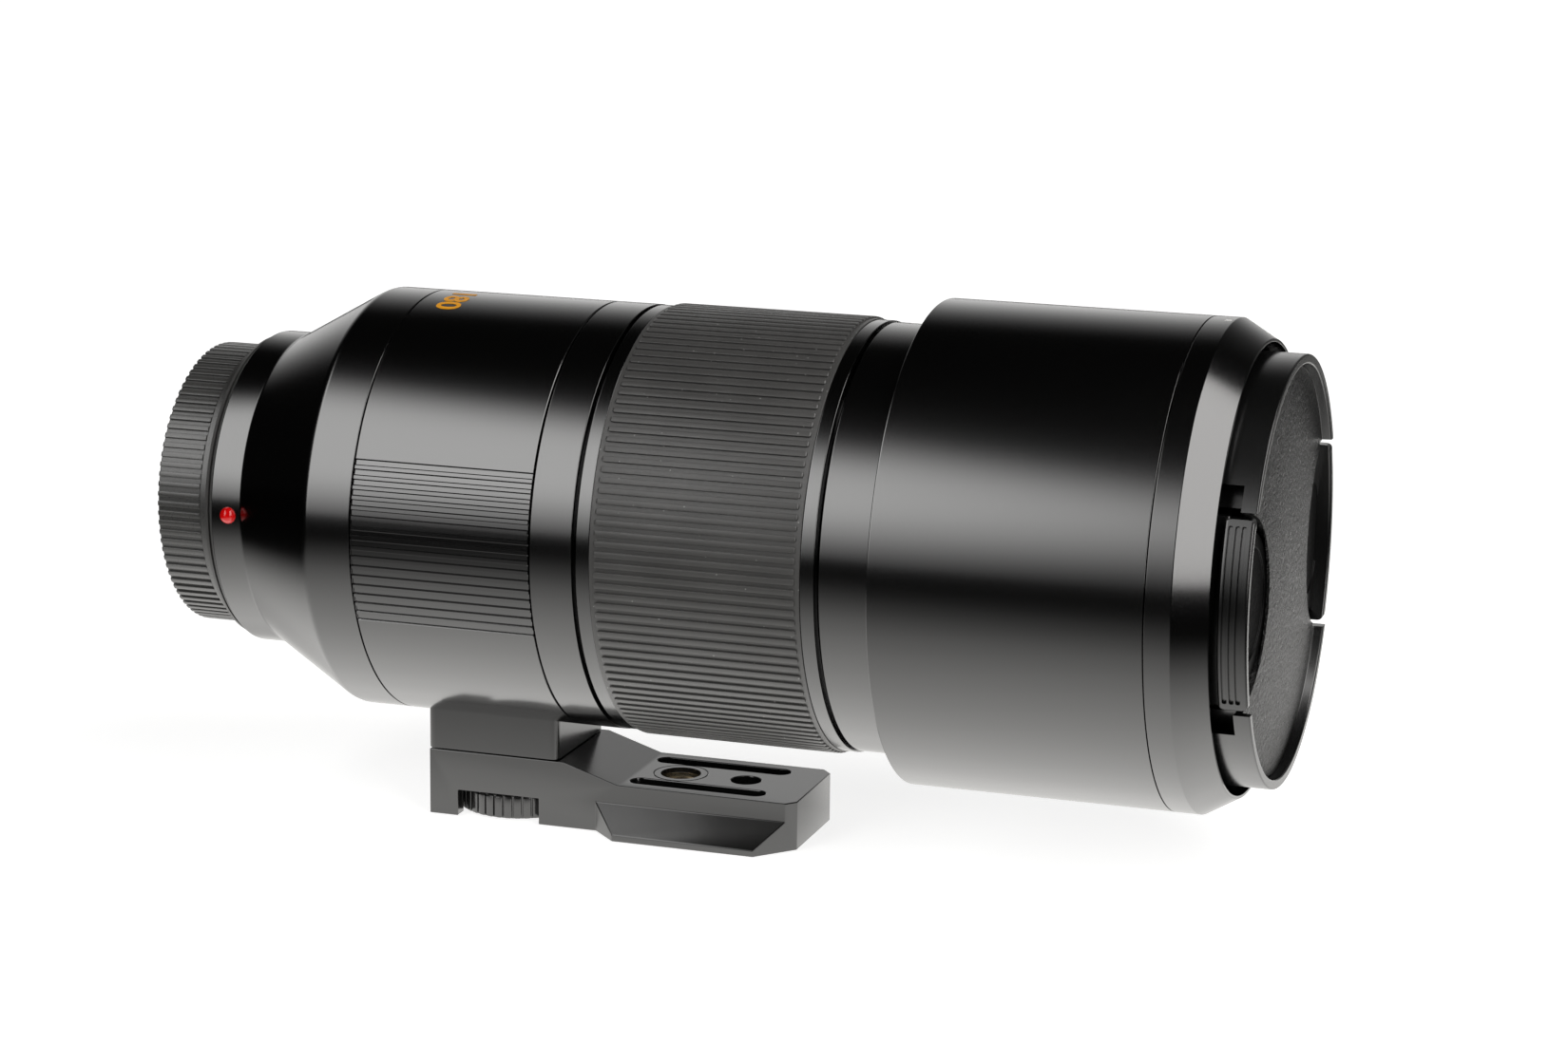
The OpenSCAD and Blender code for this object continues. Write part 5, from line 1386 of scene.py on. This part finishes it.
@dataclass
class FrontCap(Assembly):
    """The pinch cap: body, two latches with finger dishes and their springs."""

    spigot_x: float = 206.2
    skirt_x: float = 209.7
    end_x: float = 220.6
    r_out: float = 42.9
    r_in: float = 38.2
    spigot_r: float = 40.4
    rim_w: float = 1.9
    face_x: float = 218.7
    face_r: float = 40.5
    face_rise: float = 1.2
    ledge_r: float = 37.0
    roof_x: float = 216.4
    cut_y: float = 37.7
    cut_r: float = 18.8
    window_half: float = 19.6
    pocket_half: float = 24.2
    pocket_x: float = 217.35
    pocket_r: float = 39.9
    pad_x: Point = (214.6, 220.3)
    pad_half: float = 18.4
    pad_sweep: float = 30.0
    arm_sweep: float = 26.0
    pad_grooves: tuple[float, ...] = (215.85, 217.2, 218.45)
    groove_half: float = 17.2
    groove_w: float = 0.92
    groove_depth: float = 0.6
    step_r: float = 40.9
    latch_in: float = 40.6
    latch_gap: float = 0.6
    latch_floor: float = 210.0
    latch_cup: float = 216.1
    travel: float = 2.5
    hollow_x: float = 215.0
    dish_base: float = 215.9
    dish_x: float = 218.95
    dish_y: float = 32.5
    dish_r: float = 14.6
    dish_slope: float = 0.064
    pebble_y: float = 31.0
    pebble_r: float = 11.3
    pebble_drop: float = 0.4
    cup_y: float = 45.0
    cup_r: float = 18.0
    cup_wall: float = 1.2
    tongue_y: float = 20.0
    tongue_half: float = 4.0
    hub_half: float = 8.0

    REACH = 60.0
    ALL = (200.0, 230.0)

    def cross(self, side: Side, outline: Sequence[Point], low: float, high: float,
              place: Callable[[float, float, float], Vector] = along_x) -> Mesh:
        """Extrudes an outline, drawn as distances from the axis and heights, along the axis on one side."""
        return extruded_mesh([(side.value * y, z) for y, z in outline], low, high, place)

    def sloping(self, y: float, z: float, x: float) -> Vector:
        """Places an outline on the finger dish's slope, which falls away from the axis."""
        return Vector((x - self.dish_slope * (abs(y) - self.dish_y + self.dish_r), y, z))

    def beyond(self, side: Side, radius: float, half: float, low: float, high: float) -> Mesh:
        """A block on one side that lies outside a radius from the axis.

        Args:
            side: The side that it lies on.
            radius: The radius where it starts.
            half: Half its height.
            low: Where it starts along the axis.
            high: Where it ends.

        Returns:
            The mesh.
        """
        reach = math.degrees(math.asin(half / radius))
        outline = [*arc(radius, -reach, reach, 28), (self.REACH, half), (self.REACH, -half)]
        return self.cross(side, outline, low, high)

    def cuts(self, side: Side) -> list[Mesh]:
        """The openings over one latch: the round cut in the face and the window that the latch travels in.

        Args:
            side: The latch's side.

        Returns:
            The cutters.
        """
        circle = arc(self.cut_r, 0, 360, 120, (self.cut_y, 0.0))[:-1]
        inner = self.latch_in - self.travel - self.latch_gap
        return [self.cross(side, circle, self.roof_x - 1.0, self.ALL[1]),
                self.beyond(side, inner, self.window_half, *self.ALL)]

    def body(self) -> None:
        """Makes the cap's body."""
        rim_in = self.r_out - self.rim_w
        ledge = self.face_x - 0.3
        skirt = rounded([(self.spigot_x, self.r_in), (self.spigot_x, self.spigot_r), (self.skirt_x, self.spigot_r),
                         (self.skirt_x, self.r_out), (self.end_x, self.r_out), (self.end_x, rim_in),
                         (ledge, rim_in - 0.3), (ledge, self.ledge_r), (self.roof_x, self.ledge_r),
                         (self.roof_x, self.r_in)], 0.35)
        cuts = [cutter for side in Side for cutter in self.cuts(side)]
        pockets = [self.beyond(side, self.pocket_r, self.pocket_half, self.ALL[0], self.pocket_x)
                   for side in Side]
        shell = softened(combined(turned_mesh(skirt, 256), cuts + pockets), 0.2, 40)
        post = block(-self.hub_half, self.hub_half, -self.tongue_half, self.tongue_half)
        hub = softened(extruded_mesh(post, self.latch_floor, self.roof_x + 0.4, along_x), 0.2)
        piece("cap_skirt", merged(shell, hub), Body.FRONT_CAP, self.look.cap_plastic, ["cap_body"])
        dome = [(self.face_x + self.face_rise * (1 - (i / 12) ** 2), self.face_r * i / 12) for i in range(12, -1, -1)]
        lap = self.ledge_r + 0.4
        face = [(self.roof_x + 0.01, 0.0), (self.roof_x + 0.01, lap), (ledge - 0.1, lap), (ledge - 0.1, self.face_r),
                *dome]
        wide = self.dish_r + 0.3
        under = [*arc(wide, 90, 270, 60, (self.dish_y - self.travel - 0.3, 0.0)), (self.REACH, -wide),
                 (self.REACH, wide)]
        hollows = [self.cross(side, under, self.hollow_x, self.dish_x + 0.1) for side in Side]
        plate = combined(turned_mesh(face, 256), cuts + hollows)
        piece("cap_face_plate", softened(plate, 0.2, 40), Body.FRONT_CAP, self.look.cap_face,
              ["cap_body"])

    def grip(self, side: Side) -> Mesh:
        """The latch's grooved outside and the lower step behind it.

        Args:
            side: The latch's side.

        Returns:
            The mesh.
        """
        (x0, x1), half = self.pad_x, self.pad_half
        across = side.value * self.tongue_y, side.value * self.REACH
        sweep = side.clock - self.pad_sweep, side.clock + self.pad_sweep, 60
        bar = rounded([(x0, self.latch_in), (x0, self.r_out), (x1, self.r_out), (x1, self.latch_in)], 0.55)
        step = [(self.latch_floor, self.latch_in - 1.2), (self.latch_floor, self.step_r), (x0 + 0.4, self.step_r),
                (x0 + 0.4, self.latch_in - 1.2)]
        trim = extruded_mesh(rounded(block(x0, x1, -half, half), 1.3), *across, along_y)
        behind = extruded_mesh(block(*self.ALL, -half, half), *across, along_y)
        w, long = self.groove_w / 2, self.groove_half
        slots = merged(*[extruded_mesh(rounded(block(x - w, x + w, -long, long), w), *across, along_y)
                         for x in self.pad_grooves])
        core = turned_mesh(block(*self.ALL, 0.0, self.r_out - self.groove_depth), 256)
        pad = combined(swept_mesh(bar, *sweep), [trim], Cut.INSIDE)
        pad = combined(pad, [combined(slots, [core])])
        rear = combined(swept_mesh(step, *sweep), [behind], Cut.INSIDE)
        return merged(softened(pad, 0.14, 40), softened(rear, 0.2, 40))

    def latch(self, side: Side) -> None:
        """Makes one latch.

        Args:
            side: The latch's side.
        """
        node = f"cap_latch_{side.label}"
        body = Body(node)
        limit, wall, base = self.latch_in + 0.3, self.cup_wall, self.latch_floor
        pebble = arc(self.pebble_r, 0, 360, 90, (self.pebble_y, 0.0))[:-1]
        low = self.dish_x - self.pebble_drop
        dish = self.cross(side, self.cup_outline(self.dish_y, self.dish_r, limit), self.dish_base, self.dish_x,
                          self.sloping)
        dish = combined(dish, [self.cross(side, pebble, low, self.ALL[1], self.sloping)])
        cup = self.cup_outline(self.cup_y, self.cup_r + wall, limit)
        floor = self.cross(side, cup, base, base + wall)
        inside = [*arc(self.cup_r, 90, 270, 60, (self.cup_y, 0.0)), (self.REACH, -self.cup_r),
                  (self.REACH, self.cup_r)]
        shell = combined(self.cross(side, cup, base, self.latch_cup), [self.cross(side, inside, *self.ALL)])
        near, t = self.tongue_y, self.tongue_half
        far = self.cup_y - self.cup_r
        tongue = self.cross(side, block(near, far, -t, t), base, base + wall)
        seat = self.cross(side, block(near, near + wall, -t, t), base, self.latch_cup)
        claw = [(self.spigot_x, self.r_in), (base + 1.0, self.r_in), (base + 1.0, self.spigot_r),
                (self.spigot_x + 1.6, self.spigot_r), (self.spigot_x + 0.8, self.spigot_r + 0.3),
                (self.spigot_x, self.spigot_r)]
        arm = swept_mesh(claw, side.clock - self.arm_sweep, side.clock + self.arm_sweep, 40)
        grip = merged(self.grip(side), floor, shell, tongue, seat, arm)
        inset = arc(self.pebble_r - 0.1, 0, 360, 90, (self.pebble_y, 0.0))[:-1]
        pad = self.cross(side, inset, low - 0.2, low + 0.05, self.sloping)
        piece(f"{node}_grip", grip, body, self.look.cap_plastic, [node])
        piece(f"{node}_dish", softened(dish, 0.2, 40), body, self.look.dish)
        piece(f"{node}_pebble", pad, body, self.look.pad)

    @staticmethod
    def cup_outline(centre: float, radius: float, limit: float) -> list[Point]:
        """A finger dish's outline: half a circle that opens outwards and ends at a radius from the axis.

        Args:
            centre: The circle's distance from the axis.
            radius: The circle's radius.
            limit: The radius from the axis where it ends.

        Returns:
            Points as (distance from the axis, height).
        """
        inside = [p for p in arc(radius, 90, 270, 60, (centre, 0.0)) if math.hypot(*p) < limit]
        ends = [math.degrees(math.atan2(p[1], p[0])) for p in (inside[-1], inside[0])]
        return inside + arc(limit, *ends, 40)

    def spring(self, side: Side) -> None:
        """Makes one latch's spring, copied from the imported coil onto its own mesh.

        Args:
            side: The latch's side.
        """
        node = f"cap_spring_{side.label}"
        coil = solid_copy(node)
        coil.shade_smooth()
        obj = piece(f"{node}_coil", coil, Body.FRONT_CAP, self.look.steel, [node])
        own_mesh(obj)

    def build(self) -> None:
        """Makes the body, both latches and their springs."""
        self.body()
        for side in Side:
            self.latch(side)
            self.spring(side)


def main() -> None:
    """Builds the studio and the lens."""
    logging.basicConfig(level=logging.INFO, format="%(name)s: %(message)s")
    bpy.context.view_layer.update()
    finishes = Finishes()
    Studio().build()
    zoom = GripRing(finishes, "zoom", Body.ZOOM, start_x=86.7, end_x=135.8, rim=2.8, r_in=41.6, rim_r=43.9,
                    seat_r=43.0, grip_r=44.5)
    focus = GripRing(finishes, "focus", Body.FOCUS_RING, start_x=150.8, end_x=190.8, rim=3.0, r_in=41.3, rim_r=43.4,
                     seat_r=42.5, grip_r=44.0)
    for part in (RearBarrel(finishes), RearCap(finishes), Collar(finishes), Foot(finishes), zoom, focus,
                 FixedRings(finishes), Hood(finishes), FrontCap(finishes), InnerWorks(finishes)):
        part.build()


if __name__ == "__main__":
    main()
